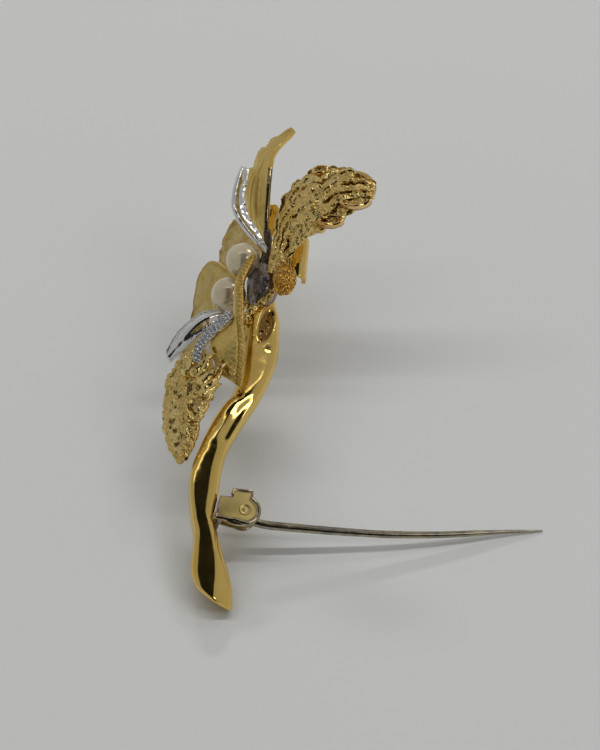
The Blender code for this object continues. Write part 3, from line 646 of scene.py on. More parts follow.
# ------------------------------------------------------------ stem
STEM = [
    ((-4.0, -10.7), (1.20, -12.95), 2.05, -0.35),
    ((-4.8, -9.0), (0.90, -11.1), 1.95, -0.25),
    ((-5.1, -6.8), (-0.05, -8.7), 1.80, -0.15),
    ((-5.45, -4.7), (-1.35, -6.3), 1.70, -0.10),
    ((-6.2, -2.8), (-2.45, -4.2), 1.65, 0.0),
    ((-6.8, -0.9), (-3.45, -2.0), 1.65, 0.0),
    ((-7.25, 0.8), (-3.55, 0.4), 1.65, 0.0),
    ((-7.45, 2.3), (-3.65, 2.4), 1.65, 0.0),
    ((-7.50, 4.0), (-3.75, 4.4), 1.62, 0.0),
    ((-7.22, 6.0), (-3.60, 6.5), 1.60, 0.0),
    ((-6.80, 8.2), (-2.95, 8.9), 1.60, 0.0),
    ((-6.25, 10.5), (-2.10, 11.5), 1.60, 0.0),
    ((-5.55, 12.5), (-1.20, 14.0), 1.76, 0.12),
    ((-4.75, 14.2), (-0.60, 16.4), 1.80, 0.06),
    ((-4.40, 16.4), (-0.20, 18.7), 1.75, -0.08),
    ((-4.6, 19.4), (-0.15, 21.0), 1.67, -0.24),
    ((-5.0, 22.4), (-0.55, 23.8), 1.60, -0.43),
    ((-5.3, 25.2), (-1.00, 26.0), 1.50, -0.58),
    ((-5.3, 27.6), (-1.95, 28.2), 1.40, -0.70),
    ((-5.2, 29.2), (-2.30, 30.2), 1.30, -0.70),
]
# how flat the broad side is at each station (1 = round), and how far its ridge leans
FLAT = [0.80, 0.78, 0.72, 0.70, 0.66, 0.64, 0.66, 0.76, 0.95, 0.98, 0.95, 0.90, 0.88, 0.86, 0.85, 0.85, 0.85, 0.9, 0.9, 0.9]
FOOT_SLANT, FOOT_ROUND = 0.45, 0.85


def stem_piece():
    rows, seg = 260, 96
    t = np.linspace(0, 1, rows + 1)
    f = curve([s[0] for s in STEM], t)
    k = curve([s[1] for s in STEM], t)
    w = curve([(s[2], s[3]) for s in STEM], t)
    flat = along(FLAT, t)
    th = 2 * np.pi * np.arange(seg) / seg
    c, s = np.cos(th), np.sin(th)
    x = np.sign(c) * np.abs(c) ** 0.85
    X = np.broadcast_to(x, (rows + 1, seg)).copy()
    Y = np.sign(s) * np.abs(s) ** flat[:, None]
    # below the bend the front half of the broad side is flatter
    low = 1 - step(t, 0.50, 0.62)[:, None]
    Y = np.where((X < 0) & (Y > 0), Y * (1 - low) + low * np.abs(s) ** (flat[:, None] * 0.46), Y)
    # above the middle the back half steps down to a narrow flat
    win = (step(t, 0.47, 0.52) * (1 - step(t, 0.60, 0.66)))[:, None]
    ledge = np.interp(X, (-1, -0.25, 0.05, 0.28, 0.34, 0.66, 0.80, 0.92, 1), (1, 1, 0.95, 0.86, 0.85, 0.835, 0.66, 0.42, 0))
    keep = (Y > 0) & (X > -0.25)
    Y = np.where(keep, Y * (1 - win) + np.minimum(ledge, 1) * win, Y)
    mid, half = (f + k) / 2, (k - f) / 2
    end = np.clip(1 - t / 0.11, 0, 1)[:, None]
    size = np.where(t < 0.012, FOOT_ROUND + (1 - FOOT_ROUND) * np.sqrt(np.clip(1 - (1 - t / 0.012) ** 2, 0, 1)), 1.0)[:, None]
    # the foot's broad side breaks along a crease; the facet behind it falls away
    lo = np.clip(1 - (t - 0.17) / 0.08, 0, 1)[:, None]
    at = (0.05 + 1.5 * t)[:, None]
    fall = 0.50 * lo * np.clip(X - at, 0, 2)
    Y = np.where(Y > 0, Y - np.minimum(fall * Y, 0.7 * Y), Y)
    B = mid[:, :1] + half[:, :1] * X * size
    L = mid[:, 1:] + half[:, 1:] * X * size - FOOT_SLANT * end * w[:, :1] * Y
    A = w[:, 1:] + w[:, :1] * Y * size
    P = np.stack((B, L, A), -1)
    # cast hollow with rough floor on the swollen top, a nick below it, small pits; the hollow's floor is painted dark
    # brown as painted reflection and shade, and the nick and pits dark as painted shade, the nick standing for the
    # contact shadow under the near leaf's tip
    top = Y > 0.05
    q = np.sqrt(((B + 2.50 - 0.05 * (L - 24.4)) / 1.00) ** 2 + ((L - 24.3) / 2.75) ** 2)
    bowl = (1 - step(q, 0.62, 1.10)) * top
    n1, c1 = nuggets(P, 0.34, 0.22, 201)
    dA = bowl * (-0.34 + 0.6 * n1)
    oxide_and_painted_shade = np.clip(1.6 * bowl, 0, 1) * (0.80 + 0.20 * c1)
    for b0, l0, rb, rl, dep in ((-3.81, 14.1, 0.30, 0.42, 0.45), (-1.65, 21.1, 0.46, 0.42, 0.10), (-4.55, 22.0, 0.12, 0.5, 0.1)):
        g = np.exp(-(((B - b0) / rb) ** 2 + ((L - l0) / rl) ** 2) ** 1.5) * top
        dA = dA - dep * g
        oxide_and_painted_shade = np.maximum(oxide_and_painted_shade, g)
    # painted reflection: the left side of the upper stem is tinted orange-brown where the textured leaf beside it would
    # be mirrored
    painted_leaf_reflection = step(t, 0.70, 0.76)[:, None] * (1 - step(t, 0.93, 0.97)[:, None]) * step(-X, 0.30, 0.70) * top
    oxide_and_painted_shade = np.maximum(oxide_and_painted_shade, 0.45 * painted_leaf_reflection * (0.75 + 0.25 * noise(P, 1.2, 206)))
    dA = dA + top * 0.015 * noise(P, 1.1, 205)
    P[..., 2] += dA
    verts = list(P.reshape(-1, 3))
    faces = grid_faces(rows + 1, seg, 0, closed=True)
    # rounded end of the foot
    centre = P[0].mean(0)
    down = np.array((0.30, -0.95, 0.0))
    last = list(range(seg))
    for q in (1, 2, 3, 4, 5):
        ph = math.pi / 2 * q / 5.5
        ring = centre + (P[0] - centre) * math.cos(ph) + down * 0.22 * math.sin(ph)
        first = len(verts)
        verts += list(ring)
        cur = list(range(first, first + seg))
        for j in range(seg):
            m = (j + 1) % seg
            faces.append((last[j], last[m], cur[m], cur[j]))
        last = cur
    faces.append(tuple(last))
    faces.append(tuple(rows * seg + j for j in range(seg)))
    V = np.array(verts)
    oxide_and_painted_shade = np.concatenate((oxide_and_painted_shade.ravel(), np.zeros(len(V) - oxide_and_painted_shade.size)))
    return add_mesh("stem_bar", V, faces, [gold], oxide_and_painted_shade, sharp=None)


add(stem_piece(), "brooch", "polished_gold", "stem")

# ------------------------------------------------------------ leaves
def edge_noise(seed, amount, size=0.03):
    def f(t):
        q = np.stack((t / size, np.full_like(t, seed * 3.1), np.zeros_like(t)), -1)
        return 1 + amount * noise(q, 1.0, seed), 1 + amount * noise(q, 1.0, seed + 9)
    return f


def upper_top(g):
    W, S, V, P = g["W"], g["S"], g["V"], g["G"]
    x = (V - 0.17) * g["width"]
    bead = 0.5 + 0.5 * np.cos(2 * np.pi * S / 0.42)
    d = 0.20 * np.exp(-(x / 0.34) ** 2) * (0.55 + 0.45 * bead)
    d += 0.035 * np.cos(2 * np.pi * (x - 0.25 * S) / 0.75) * step(V, 0.25, 0.35) * (1 - step(V, 0.86, 0.95))
    d -= 0.22 * np.exp(-(((V - 0.70) * g["width"]) / 0.12) ** 2) * step(g["T"], 0.15, 0.3) * (1 - step(g["T"], 0.62, 0.7))
    d += 0.02 * noise(P, 0.25, 5)
    # painted shade: the crease groove is painted dark where the leaf's back half turns away; the rope rib and a line
    # beside it are tinted orange-brown
    oxide_and_painted_shade = np.exp(-(((V - 0.70) * g["width"]) / 0.14) ** 2) * step(g["T"], 0.15, 0.3) * (1 - step(g["T"], 0.62, 0.7))
    oxide_and_painted_shade = oxide_and_painted_shade + 0.5 * np.exp(-((x - 0.50) / 0.12) ** 2) + (0.30 + 0.35 * (1 - bead)) * np.exp(-(x / 0.34) ** 2) * (1 - step(g["T"], 0.5, 0.62))
    return d, np.clip(oxide_and_painted_shade, 0, 1)


def upper_low(g):
    d = 0.03 * np.cos(2 * np.pi * (g["W"] + 0.3 * g["S"]) / 0.8) + 0.02 * noise(g["G"], 0.3, 8)
    return d, np.zeros_like(d)


LEAF_UPPER = dict(
    front=[(-6.0, 36.2, -0.9), (-7.3, 38.8, -1.8), (-8.2, 41.6, -2.5), (-8.6, 44.5, -2.8),
           (-8.5, 47.6, -2.4), (-7.3, 50.4, -1.6), (-4.9, 53.0, -0.35)],
    back=[(-4.9, 35.9, 0.8), (-5.5, 37.7, 1.8), (-6.0, 40.3, 2.5), (-6.4, 42.9, 2.8), (-6.6, 45.9, 2.3),
          (-6.1, 48.6, 1.5), (-4.4, 52.3, 0.25)],
    face=(-1, 0, 0.2), thick=0.62, crease=(0.0, 0.5, 0.8, 0.8, 0.6, 0.3, 0.0), crease_at=0.42,
    nu=280, nv=74, root=0.14,
    push=lambda t: np.interp(t, (0, 0.25, 0.57, 0.60, 0.615, 0.765, 0.785, 0.80, 0.87, 0.883, 0.895, 1),
                             (0.0, -0.15, -0.45, -0.30, 0.50, -0.15, -0.05, 0.42, -0.12, -0.02, 0.28, 0)))
add(leaf("leaf_upper_fine", [satin, rim_gold, gold], upper_top, upper_low, edge_to=0.66, tip_mat=2,
         lean=lambda t: 0.34 * step(t, 0.02, 0.15) * (1 - step(t, 0.62, 0.75)), **LEAF_UPPER), "brooch", "satin_gold", "leaf_upper")


def white_top(g):
    W, S, V, T, P = g["W"], g["S"], g["V"], g["T"], g["G"]
    d = 0.07 * np.cos(2 * np.pi * (V * 2.6 + 0.2)) + 0.03 * noise(P, 0.5, 21)
    patch = step(T, 0.48, 0.56) * (1 - step(T, 0.78, 0.86))
    n1, c1 = nuggets(P, 0.36, 0.14, 22)
    d = d + n1 * patch
    # the nugget patch's joints are painted dark as oxide and shade, and a dark streak near the tip is a painted
    # reflection
    oxide_and_painted_shade = c1 * patch + 0.8 * np.exp(-(((V - 0.62) * g["width"]) / 0.12) ** 2) * step(T, 0.65, 0.75)
    return d, np.clip(oxide_and_painted_shade, 0, 1)


def white_low(g):
    d = 0.04 * noise(g["G"], 0.6, 25)
    return d, np.zeros_like(d)


BLADE_UPPER = dict(
    front=[(-6.2, 34.5, 2.3), (-8.5, 36.4, 2.4), (-9.9, 38.4, 2.3), (-10.3, 40.6, 2.1), (-10.25, 42.7, 1.7),
           (-10.1, 45.0, 1.2)],
    back=[(-5.5, 35.2, 1.7), (-6.6, 36.75, 1.5), (-7.85, 38.2, 1.3), (-8.75, 40.4, 1.2), (-9.05, 42.7, 1.0),
          (-9.15, 45.1, 0.9)],
    face=(-1, 0, 0.2), thick=0.55, bulge=(0.1, 0.3, 0.35, 0.35, 0.2, 0.05), nu=160, nv=50, root=0.14,
    edge=edge_noise(4, 0.08, 0.05))
add(leaf("blade_white_upper_fine", [white, white], white_top, white_low, **BLADE_UPPER), "brooch", "white_gold",
    "blade_white_upper")


def petal_top(seed, k):
    def f(g):
        P, V, T, S = g["G"], g["V"], g["T"], g["S"]
        ray = 0.11 * np.cos(2 * np.pi * (V * k + 0.25 * np.sin(5 * T)))
        d = ray * step(T, 0.1, 0.3) + 0.16 * noise(P, 1.8, seed) + 0.06 * noise(P, 0.8, seed + 5) + 0.02 * noise(P, 0.35, seed + 1)
        rim = np.exp(-((np.minimum(V, 1 - V) * g["width"] - 0.12) / 0.14) ** 2)
        # random darker mottling, and a band just inside the raised rim painted dark as painted shade
        oxide_and_painted_shade = 0.8 * np.clip(-noise(P, 1.6, seed + 3), 0, 1) + 0.5 * np.clip(-noise(P, 0.7, seed + 6), 0, 1)
        oxide_and_painted_shade = np.clip(oxide_and_painted_shade + 0.7 * np.exp(-((np.minimum(V, 1 - V) * g["width"] - 0.36) / 0.12) ** 2), 0, 1)
        return d + 0.08 * rim, oxide_and_painted_shade
    return f


def petal_wave(seed, amount):
    def f(T, V):
        q = np.stack((T * 4.5, V * 0.0 + (V > 0.5) * 7.0, np.full_like(T, seed)), -1)
        return amount * noise(q, 1.0, seed) * np.abs(2 * V - 1) ** 2 * step(T, 0.1, 0.3)
    return f


PETAL_UPPER = dict(
    front=[(-5.2, 33.2, -2.9), (-7.3, 33.6, -5.6), (-8.6, 35.2, -9.0), (-9.3, 37.2, -12.2),
           (-9.6, 39.8, -13.8)],
    back=[(-4.9, 35.6, -2.2), (-6.3, 39.2, -4.4), (-7.9, 42.0, -7.6), (-9.1, 42.9, -10.6),
          (-9.6, 41.2, -13.4)],
    face=(-1, 0, 0.3), thick=0.60, bulge=(0.1, -0.7, -0.9, -0.5, 0.0), crease=(0.0, 0.5, 0.6, 0.4, 0.0),
    front_teeth=(4, 0.06), back_teeth=(4, 0.10), nu=170, nv=80, root=0.14, fold=petal_wave(31, 0.25),
    edge=edge_noise(5, 0.03, 0.06))
add(leaf("petal_far_upper_fine", [satin_gold_painted_shade, gold], petal_top(41, 4.0), petal_top(42, 4.0), **PETAL_UPPER),
    "brooch", "satin_gold", "petal_far_upper")

PETAL_LOWER = dict(
    front=[(-6.0, 27.2, -3.6), (-7.6, 25.4, -6.8), (-9.2, 24.3, -10.2), (-10.5, 23.9, -13.0),
           (-11.4, 24.2, -14.8), (-12.0, 25.3, -15.8)],
    back=[(-5.6, 29.6, -3.2), (-8.3, 33.4, -5.4), (-10.5, 35.9, -9.0), (-11.6, 35.4, -12.6),
          (-11.3, 31.2, -15.2), (-12.0, 26.9, -15.7)],
    face=(-1, 0, 0.3), thick=0.60, bulge=(0.1, -0.8, -1.1, -0.9, -0.5, 0.0),
    crease=(0.0, 0.5, 0.7, 0.6, 0.3, 0.0), crease_at=0.62, front_teeth=(4, 0.06), back_teeth=(4, 0.05),
    nu=170, nv=94, root=0.14, edge=edge_noise(6, 0.02, 0.06))
add(leaf("petal_far_lower_fine", [satin_gold_painted_shade, gold], petal_top(43, 4.0), petal_top(44, 4.0), **PETAL_LOWER),
    "brooch", "satin_gold", "petal_far_lower")


def near_top(g):
    W, S, V, T, P = g["W"], g["S"], g["V"], g["T"], g["G"]
    x = (1 - V) * g["width"]
    band = 1 - step(x, 0.55, 0.78)
    bead = 0.5 + 0.5 * np.cos(2 * np.pi * (S + 0.35 * x + 0.22 * noise(P, 1.2, 54)) / 0.50)
    d = 0.03 * noise(P, 0.8, 51) + 0.012 * noise(P, 0.2, 52)
    n2, c2 = nuggets(P, 0.40, 0.20, 55)
    d = d + band * (0.10 * bead + n2 + 0.08)
    groove = np.exp(-((x - 0.74) / 0.12) ** 2)
    d = d - 0.12 * groove
    oxide_and_painted_shade = band * ((1 - bead) * 0.5 + 0.5 * c2) + groove * 0.7
    # ragged holes by the lower end, painted dark inside as painted shade (the groove and the bead joints above are
    # painted dark as shade and oxide too)
    for t0, v0, a, b_, turn in ((0.93, 0.40, 0.8, 0.35, 0.35), (0.84, 0.12, 0.35, 0.3, 0.0)):
        h = spot(g, t0, v0, a, b_, turn)
        d = d - 0.42 * h
        oxide_and_painted_shade = oxide_and_painted_shade + h
    rag = step(T, 0.80, 0.90)
    n1, c1 = nuggets(P, 0.5, 0.16, 57)
    d = d + n1 * rag * 0.8
    oxide_and_painted_shade = oxide_and_painted_shade + c1 * rag * 0.6
    return d, np.clip(oxide_and_painted_shade, 0, 1)


def near_low(g):
    d = 0.05 * noise(g["G"], 0.7, 58)
    return d, np.clip(-noise(g["G"], 0.7, 58), 0, 1) * 0.5


def near_edge(t):
    q = np.stack((t / 0.018, np.full_like(t, 2.2), np.zeros_like(t)), -1)
    front = 1 + 0.10 * noise(q, 1.0, 61) * step(t, 0.55, 0.8)
    back = 1 + 0.035 * np.cos(2 * np.pi * t * 27)
    return front, back


LEAF_NEAR = dict(
    front=[(-6.7, 31.2, 3.3), (-7.35, 28.3, 3.0), (-6.95, 25.5, 2.8), (-6.75, 22.8, 2.7),
           (-8.7, 19.2, 2.65), (-6.9, 15.6, 2.7)],
    back=[(-6.0, 31.4, 3.4), (-6.6, 28.2, 3.8), (-6.2, 25.5, 4.0), (-5.4, 21.9, 4.0), (-4.5, 18.3, 3.8),
          (-3.9, 14.2, 3.2)],
    face=(-0.3, -0.3, 1), thick=0.62, bulge=(0.0, 0.1, 0.2, 0.3, 0.3, 0.1), back_teeth=(9, 0.03),
    nu=240, nv=84, root=0.05, edge=near_edge)
add(leaf("leaf_near_fine", [satin, rope], near_top, near_low, **LEAF_NEAR), "brooch", "satin_gold", "leaf_near")


def nugget_face(seed, size, height, big=0.25):
    def f(g):
        P = g["G"]
        d, oxide_and_painted_shade = nuggets(P, size, height, seed)
        d = d + big * rough(P, 2.2, seed + 3)
        # pits sunk and painted dark: oxide and painted shade
        pits = step(noise(P, 1.5, seed + 8), 0.42, 0.62)
        d = d - 0.30 * pits
        return d, np.clip(oxide_and_painted_shade + 0.6 * pits, 0, 1)
    return f


LEAF_LOWER = dict(
    front=[(-10.9, 18.6, -1.2), (-12.1, 16.7, -1.8), (-12.45, 13.9, -2.0), (-12.1, 10.8, -2.0),
           (-11.1, 7.9, -1.8), (-10.0, 5.6, -1.2), (-8.7, 4.0, -0.2)],
    back=[(-8.6, 18.6, 1.0), (-7.7, 16.6, 1.6), (-6.7, 14.2, 2.4), (-7.3, 11.6, 2.9), (-7.75, 8.8, 2.8),
          (-7.8, 6.2, 2.2), (-8.25, 4.3, 0.6)],
    face=(-0.6, -0.2, 1), thick=0.9, bulge=(0.2, 0.7, 1.0, 1.0, 0.9, 0.6, 0.2),
    front_teeth=(6, 0.08), back_teeth=(6, 0.08), nu=280, nv=136, root=0.03, edge=edge_noise(7, 0.10, 0.025))
def lower_top(g):
    d, oxide_and_painted_shade = foil(g, 1.35, 170, 0.35)
    # fine troughs and pits are painted dark: oxide and painted shade
    fine = 1 - 2 * np.abs(noise(g["G"], 0.85, 174))
    pits = step(noise(g["G"], 0.75, 178), 0.45, 0.65)
    return 1.25 * d + 0.12 * fine - 0.26 * pits, np.clip(1.1 * oxide_and_painted_shade + 0.45 * step(-fine, 0.1, 0.8) + 0.8 * pits, 0, 1)


LOWER = [leaf("leaf_lower_nugget", [nugget_gold_painted_shade, nugget_gold_painted_shade], lower_top, nugget_face(72, 0.5, 0.22),
              **LEAF_LOWER)]


def prong(k, pts, r0, r1):
    q = np.linspace(0, 1, 40)
    return tube("prong%d" % k, curve(pts, q), r0 + (r1 - r0) * q, [nugget_gold_painted_shade], 26,
                lambda P, r: (0.14 * noise(P, 0.5, 160 + k) * np.minimum(r * 2.2, 1), 0.5 * step(-noise(P, 0.6, 165 + k), -0.1, 0.5)))


# the leaf's torn upper edge: prongs that stand up over the next leaf
for k, (pts, r0, r1) in enumerate((
        (((-9.7, 15.2, 2.2), (-9.0, 16.6, 3.0), (-8.15, 17.7, 3.5)), 0.85, 0.10),
        (((-8.6, 14.0, 2.7), (-7.6, 15.3, 3.5), (-6.3, 16.7, 4.2)), 0.90, 0.10),
        (((-10.8, 15.4, 1.3), (-10.3, 16.8, 2.3), (-9.9, 17.6, 3.0)), 0.8, 0.12),
        (((-8.2, 12.4, 2.9), (-7.2, 13.4, 3.2), (-6.4, 14.1, 3.2)), 0.8, 0.08),
        (((-8.5, 10.2, 3.0), (-7.8, 11.3, 3.2), (-7.2, 12.0, 3.2)), 0.7, 0.08),
        (((-9.2, 14.6, 2.6), (-8.7, 16.0, 3.5), (-8.9, 17.2, 4.0)), 0.6, 0.08),
        (((-8.2, 13.2, 3.2), (-7.0, 14.6, 3.7), (-6.75, 15.5, 4.1)), 0.6, 0.08))):
    LOWER.append(prong(k, pts, r0, r1))
add(join("leaf_lower_nugget", LOWER), "brooch", "textured_gold", "leaf_lower_textured")


def ribbon_top(g):
    V, T, P = g["V"], g["T"], g["G"]
    d = 0.13 * np.cos(2 * np.pi * (V * 1.5 + 0.25)) + 0.02 * noise(P, 0.8, 81)
    rim = np.exp(-(((V - 0.06) * g["width"]) / 0.22) ** 2) + np.exp(-(((V - 0.94) * g["width"]) / 0.2) ** 2)
    n1, c1 = nuggets(P, 0.3, 0.10, 82)
    return d + n1 * rim, c1 * rim * 0.8


BLADE_LOWER = dict(
    front=[(-6.6, 26.9, -3.9), (-8.8, 26.55, -3.7), (-10.4, 25.85, -3.8), (-11.8, 24.45, -4.4),
           (-13.0, 22.7, -5.4), (-13.7, 20.3, -6.6)],
    back=[(-5.95, 26.05, -3.4), (-7.85, 25.25, -3.3), (-9.45, 23.85, -3.5), (-10.8, 22.15, -4.1),
          (-11.9, 20.7, -5.1), (-13.1, 19.35, -6.4)],
    face=(-0.5, -0.3, 1), thick=0.55, bulge=(0.1, 0.3, 0.4, 0.4, 0.2, 0.0), nu=170, nv=60, root=0.05,
    edge=edge_noise(8, 0.04, 0.05))
add(leaf("blade_white_lower_fine", [white, white], ribbon_top, white_low, **BLADE_LOWER), "brooch", "white_gold",
    "blade_white_lower")


def strip_top(g):
    P = g["G"]
    d, oxide_and_painted_shade = nuggets(P, 0.42, 0.16, 91)
    bead = 0.5 + 0.5 * np.cos(2 * np.pi * g["S"] / 0.55)
    # the joints between the beads are painted darker: oxide and painted shade
    return d + 0.08 * bead, np.clip(oxide_and_painted_shade * 0.8 + (1 - bead) * 0.35, 0, 1)


STRIP = dict(
    front=[(-7.7, 23.7, 3.1), (-9.05, 21.6, 3.1), (-10.35, 19.2, 3.0), (-10.6, 17.5, 2.9),
           (-10.2, 16.2, 2.8)],
    back=[(-7.0, 23.0, 3.2), (-8.35, 20.7, 3.2), (-9.5, 18.6, 3.1), (-9.65, 17.1, 3.0), (-9.3, 16.1, 2.9)],
    face=(-0.3, -0.3, 1), thick=0.5, nu=220, nv=34, root=0.02, edge=edge_noise(9, 0.15, 0.02))
add(leaf("strip_white_fine", [white_cut, white_cut], strip_top, strip_top, **STRIP), "brooch",
    "white_gold_engraved", "strip_white_textured")


def rolled_top(g):
    P, V, T, S = g["G"], g["V"], g["T"], g["S"]
    wob = 0.55 * noise(P, 2.6, 101)
    x = V * 5.0 + wob
    grow = step(T, 0.02, 0.12)
    # long tongues that overlap: each one rises slowly and drops at its edge
    saw = (x % 1.0)
    tongue = np.where(saw < 0.82, saw / 0.82, (1 - saw) / 0.18)
    gap = np.exp(-((saw - 0.97) / 0.085) ** 2) + np.exp(-((saw + 0.03) / 0.085) ** 2)
    gap = gap * step(noise(P, 1.5, 102), -0.05, 0.25)
    d1, c1 = foil(g, 1.5, 140)
    # the slits between the tongues are sunk and painted dark as painted shade
    d = 0.26 * (tongue - 0.5) * grow + d1 - 0.36 * gap * grow
    return d, np.clip(0.9 * c1 + 1.0 * gap * grow, 0, 1)


def rolled_low(g):
    n1, c1 = nuggets(g["G"], 0.5, 0.14, 106)
    return n1 + 0.10 * noise(g["G"], 1.4, 107), c1 * 0.6


LEAF_ROLLED = dict(
    front=[(-3.9, 33.0, 2.8), (-3.95, 36.0, 3.4), (-4.05, 38.5, 4.2), (-3.65, 40.75, 5.2),
           (-2.6, 42.45, 6.4), (-0.85, 43.9, 7.4), (1.3, 44.25, 8.2), (3.3, 44.15, 8.7), (5.15, 43.55, 9.2),
           (6.3, 42.5, 9.6)],
    back=[(-2.25, 31.9, 3.5), (-1.5, 32.9, 4.4), (-0.85, 34.0, 5.3), (0.1, 34.9, 6.3), (1.15, 35.45, 7.3),
          (2.65, 36.2, 8.1), (3.85, 37.55, 8.6), (4.8, 38.8, 9.0), (5.85, 39.6, 9.4), (6.5, 40.8, 9.7)],
    face=(-0.2, -0.4, 1), thick=0.8, bulge=(0.2, 0.5, 0.8, 1.0, 1.1, 1.1, 1.0, 0.8, 0.4),
    front_teeth=(9, 0.15), back_teeth=(6, 0.12), nu=300, nv=150, root=0.10, edge=edge_noise(10, 0.06, 0.02))
add(leaf("leaf_rolled_fine", [nugget, nugget], rolled_top, rolled_low, **LEAF_ROLLED), "brooch", "textured_gold",
    "leaf_rolled")

BACK_TIP = dict(
    front=[(-2.6, 31.6, 3.0), (-2.9, 30.6, 3.3), (-2.75, 29.2, 3.4), (-2.2, 28.2, 3.3), (-1.5, 27.7, 3.3)],
    back=[(-1.3, 31.6, 3.4), (-0.7, 31.0, 3.5), (-0.45, 30.0, 3.6), (-0.6, 28.8, 3.5), (-1.1, 27.8, 3.4)],
    face=(0, -0.3, 1), thick=0.9, bulge=(0.1, 0.4, 0.5, 0.4, 0.1), nu=130, nv=60, root=0.12,
    edge=edge_noise(11, 0.06, 0.06))
add(leaf("leaf_back_tip_fine", [warm_nugget, warm_nugget], nugget_face(111, 0.5, 0.2, 0.1),
         nugget_face(112, 0.5, 0.2, 0.1), **BACK_TIP), "brooch", "textured_gold", "leaf_back_tip")


def smooth_top(g):
    d = 0.05 * noise(g["G"], 0.9, 121)
    return d, np.zeros_like(d)


BACK_UPPER = dict(
    front=[(-5.0, 34.6, -2.0), (-5.2, 36.6, -2.2), (-5.1, 38.6, -2.3), (-5.1, 40.6, -2.0),
           (-5.3, 42.0, -1.3)],
    back=[(-4.6, 34.6, -1.2), (-4.7, 36.6, -0.9), (-4.2, 38.6, -0.6), (-4.1, 40.6, -0.6),
          (-4.9, 41.9, -0.9)],
    face=(1, 0, 0.5), thick=0.6, bulge=(0.1, 0.2, 0.5, 0.5, 0.1), nu=90, nv=36, root=0.14)
add(leaf("leaf_back_upper_fine", [gold, gold], smooth_top, smooth_top, **BACK_UPPER), "brooch", "polished_gold",
    "leaf_back_upper")

# ------------------------------------------------------------ small cast and soldered details
def lip(name, c, u, w, ru, rv, r, depth, hole, mats):
    """Rolled lip: polished oval ring round a shallow dish painted dark as painted shade; hole says which side of the
    dish gets the darkest painted shade, so that it reads as a dark opening.
    """
    c, u, w = (np.asarray(x, float) for x in (c, u, w))
    u = u / np.linalg.norm(u)
    w = w - u * (w @ u)
    w = w / np.linalg.norm(w)
    n = np.cross(u, w)
    if n[2] < 0:
        n = -n
    ph = np.linspace(0, 2 * np.pi, 72, endpoint=False)
    prof = [(r * 1.3, -0.60), (r * 1.15, -0.1)]
    prof += [(r * math.cos(q), r * 0.8 * math.sin(q)) for q in np.linspace(0.1, math.pi - 0.1, 9)]
    rows, oxide_and_painted_shade = [], []
    for x, z in prof:
        rows.append(c + u * ((ru + x) * np.cos(ph))[:, None] + w * ((rv + x) * np.sin(ph))[:, None] + n * z)
        oxide_and_painted_shade.append(np.zeros(72))
    for f, z in ((0.95, -0.15), (0.8, -0.6), (0.55, -0.9), (0.25, -1.0)):
        a, b = (ru - r) * f, (rv - r) * f
        rows.append(c + u * (a * np.cos(ph))[:, None] + w * (b * np.sin(ph))[:, None] + n * (z * depth))
        dark = 0.55 + 0.45 * step(np.cos(ph) * hole, -0.25, 0.20) if hole else np.ones(72)
        oxide_and_painted_shade.append(dark * (0.6 if f > 0.9 else 1.0))
    P = np.array(rows)
    P = P + n * (0.16 * noise(P, 0.8, 148) + 0.08 * noise(P, 0.35, 149))[..., None]
    faces = grid_faces(len(rows), 72, 0, closed=True)
    faces.append(tuple(range(72)))
    faces.append(tuple((len(rows) - 1) * 72 + k for k in range(72)))
    return add_mesh(name, P.reshape(-1, 3), faces, mats, np.array(oxide_and_painted_shade).ravel())


U = np.array((0.93, 0.30, 0.12))
lips = [lip("rolled_lips", (4.4, 39.7, 10.0), U, (-0.25, 0.95, -0.2), 1.80, 0.76, 0.27, 0.50, 1, [lip_gold]),
        lip("lip_two", (1.95, 36.6, 9.15), U, (-0.25, 0.95, -0.2), 1.45, 0.60, 0.22, 0.50, -1, [lip_gold]),
        lip("lip_three", (-0.6, 43.65, 8.2), U, (-0.25, 0.95, -0.2), 0.92, 0.45, 0.20, 0.45, -1, [lip_gold]),
        lip("lip_four", (5.95, 41.55, 9.85), (-0.1, 1, 0), (1, 0.1, 0), 0.55, 0.16, 0.12, 0.6, 0, [gold])]
qn = np.linspace(0, 1, 70)
lips.append(tube("nose", curve([(3.3, 44.1, 8.9), (4.55, 43.8, 9.4), (5.45, 43.25, 9.75), (6.1, 42.4, 9.95), (6.3, 41.35, 10.05),
                                (6.0, 40.35, 10.0), (5.15, 39.5, 9.8), (4.0, 38.7, 9.5)], qn),
                 0.20 + 0.22 * np.sin(np.pi * qn) ** 0.7, [lip_gold], 28, lambda P, r: (0.04 * noise(P, 0.8, 146), np.zeros(r.shape))))
add(join("rolled_lips", lips), "brooch", "polished_gold")


def bumpy(seed, a, size=0.4):
    def f(P, r):
        n1, c1 = nuggets(P, size, a, seed)
        return n1 + 0.3 * a * noise(P, 0.9, seed + 3), c1
    return f


# near-black necks: painted shade for the shaded gap between the upper leaf's base and the bud, and oxide
neck = [tube("hub_necks", [(-4.4, 30.6, 1.5), (-4.45, 32.6, 1.9), (-4.5, 34.6, 1.7), (-5.0, 36.7, 1.3)], (0.75, 0.66, 0.60, 0.50),
             [solder_oxide_and_shade], 28, bumpy(141, 0.16, 0.5)),
        tube("neck_b", [(-3.7, 31.2, 1.6), (-4.0, 33.3, 1.9), (-4.4, 35.6, 1.2)], (0.5, 0.42, 0.34), [solder_oxide_and_shade], 24,
             bumpy(142, 0.14, 0.5))]
add(join("hub_necks", neck), "brooch", "oxidised_solder")

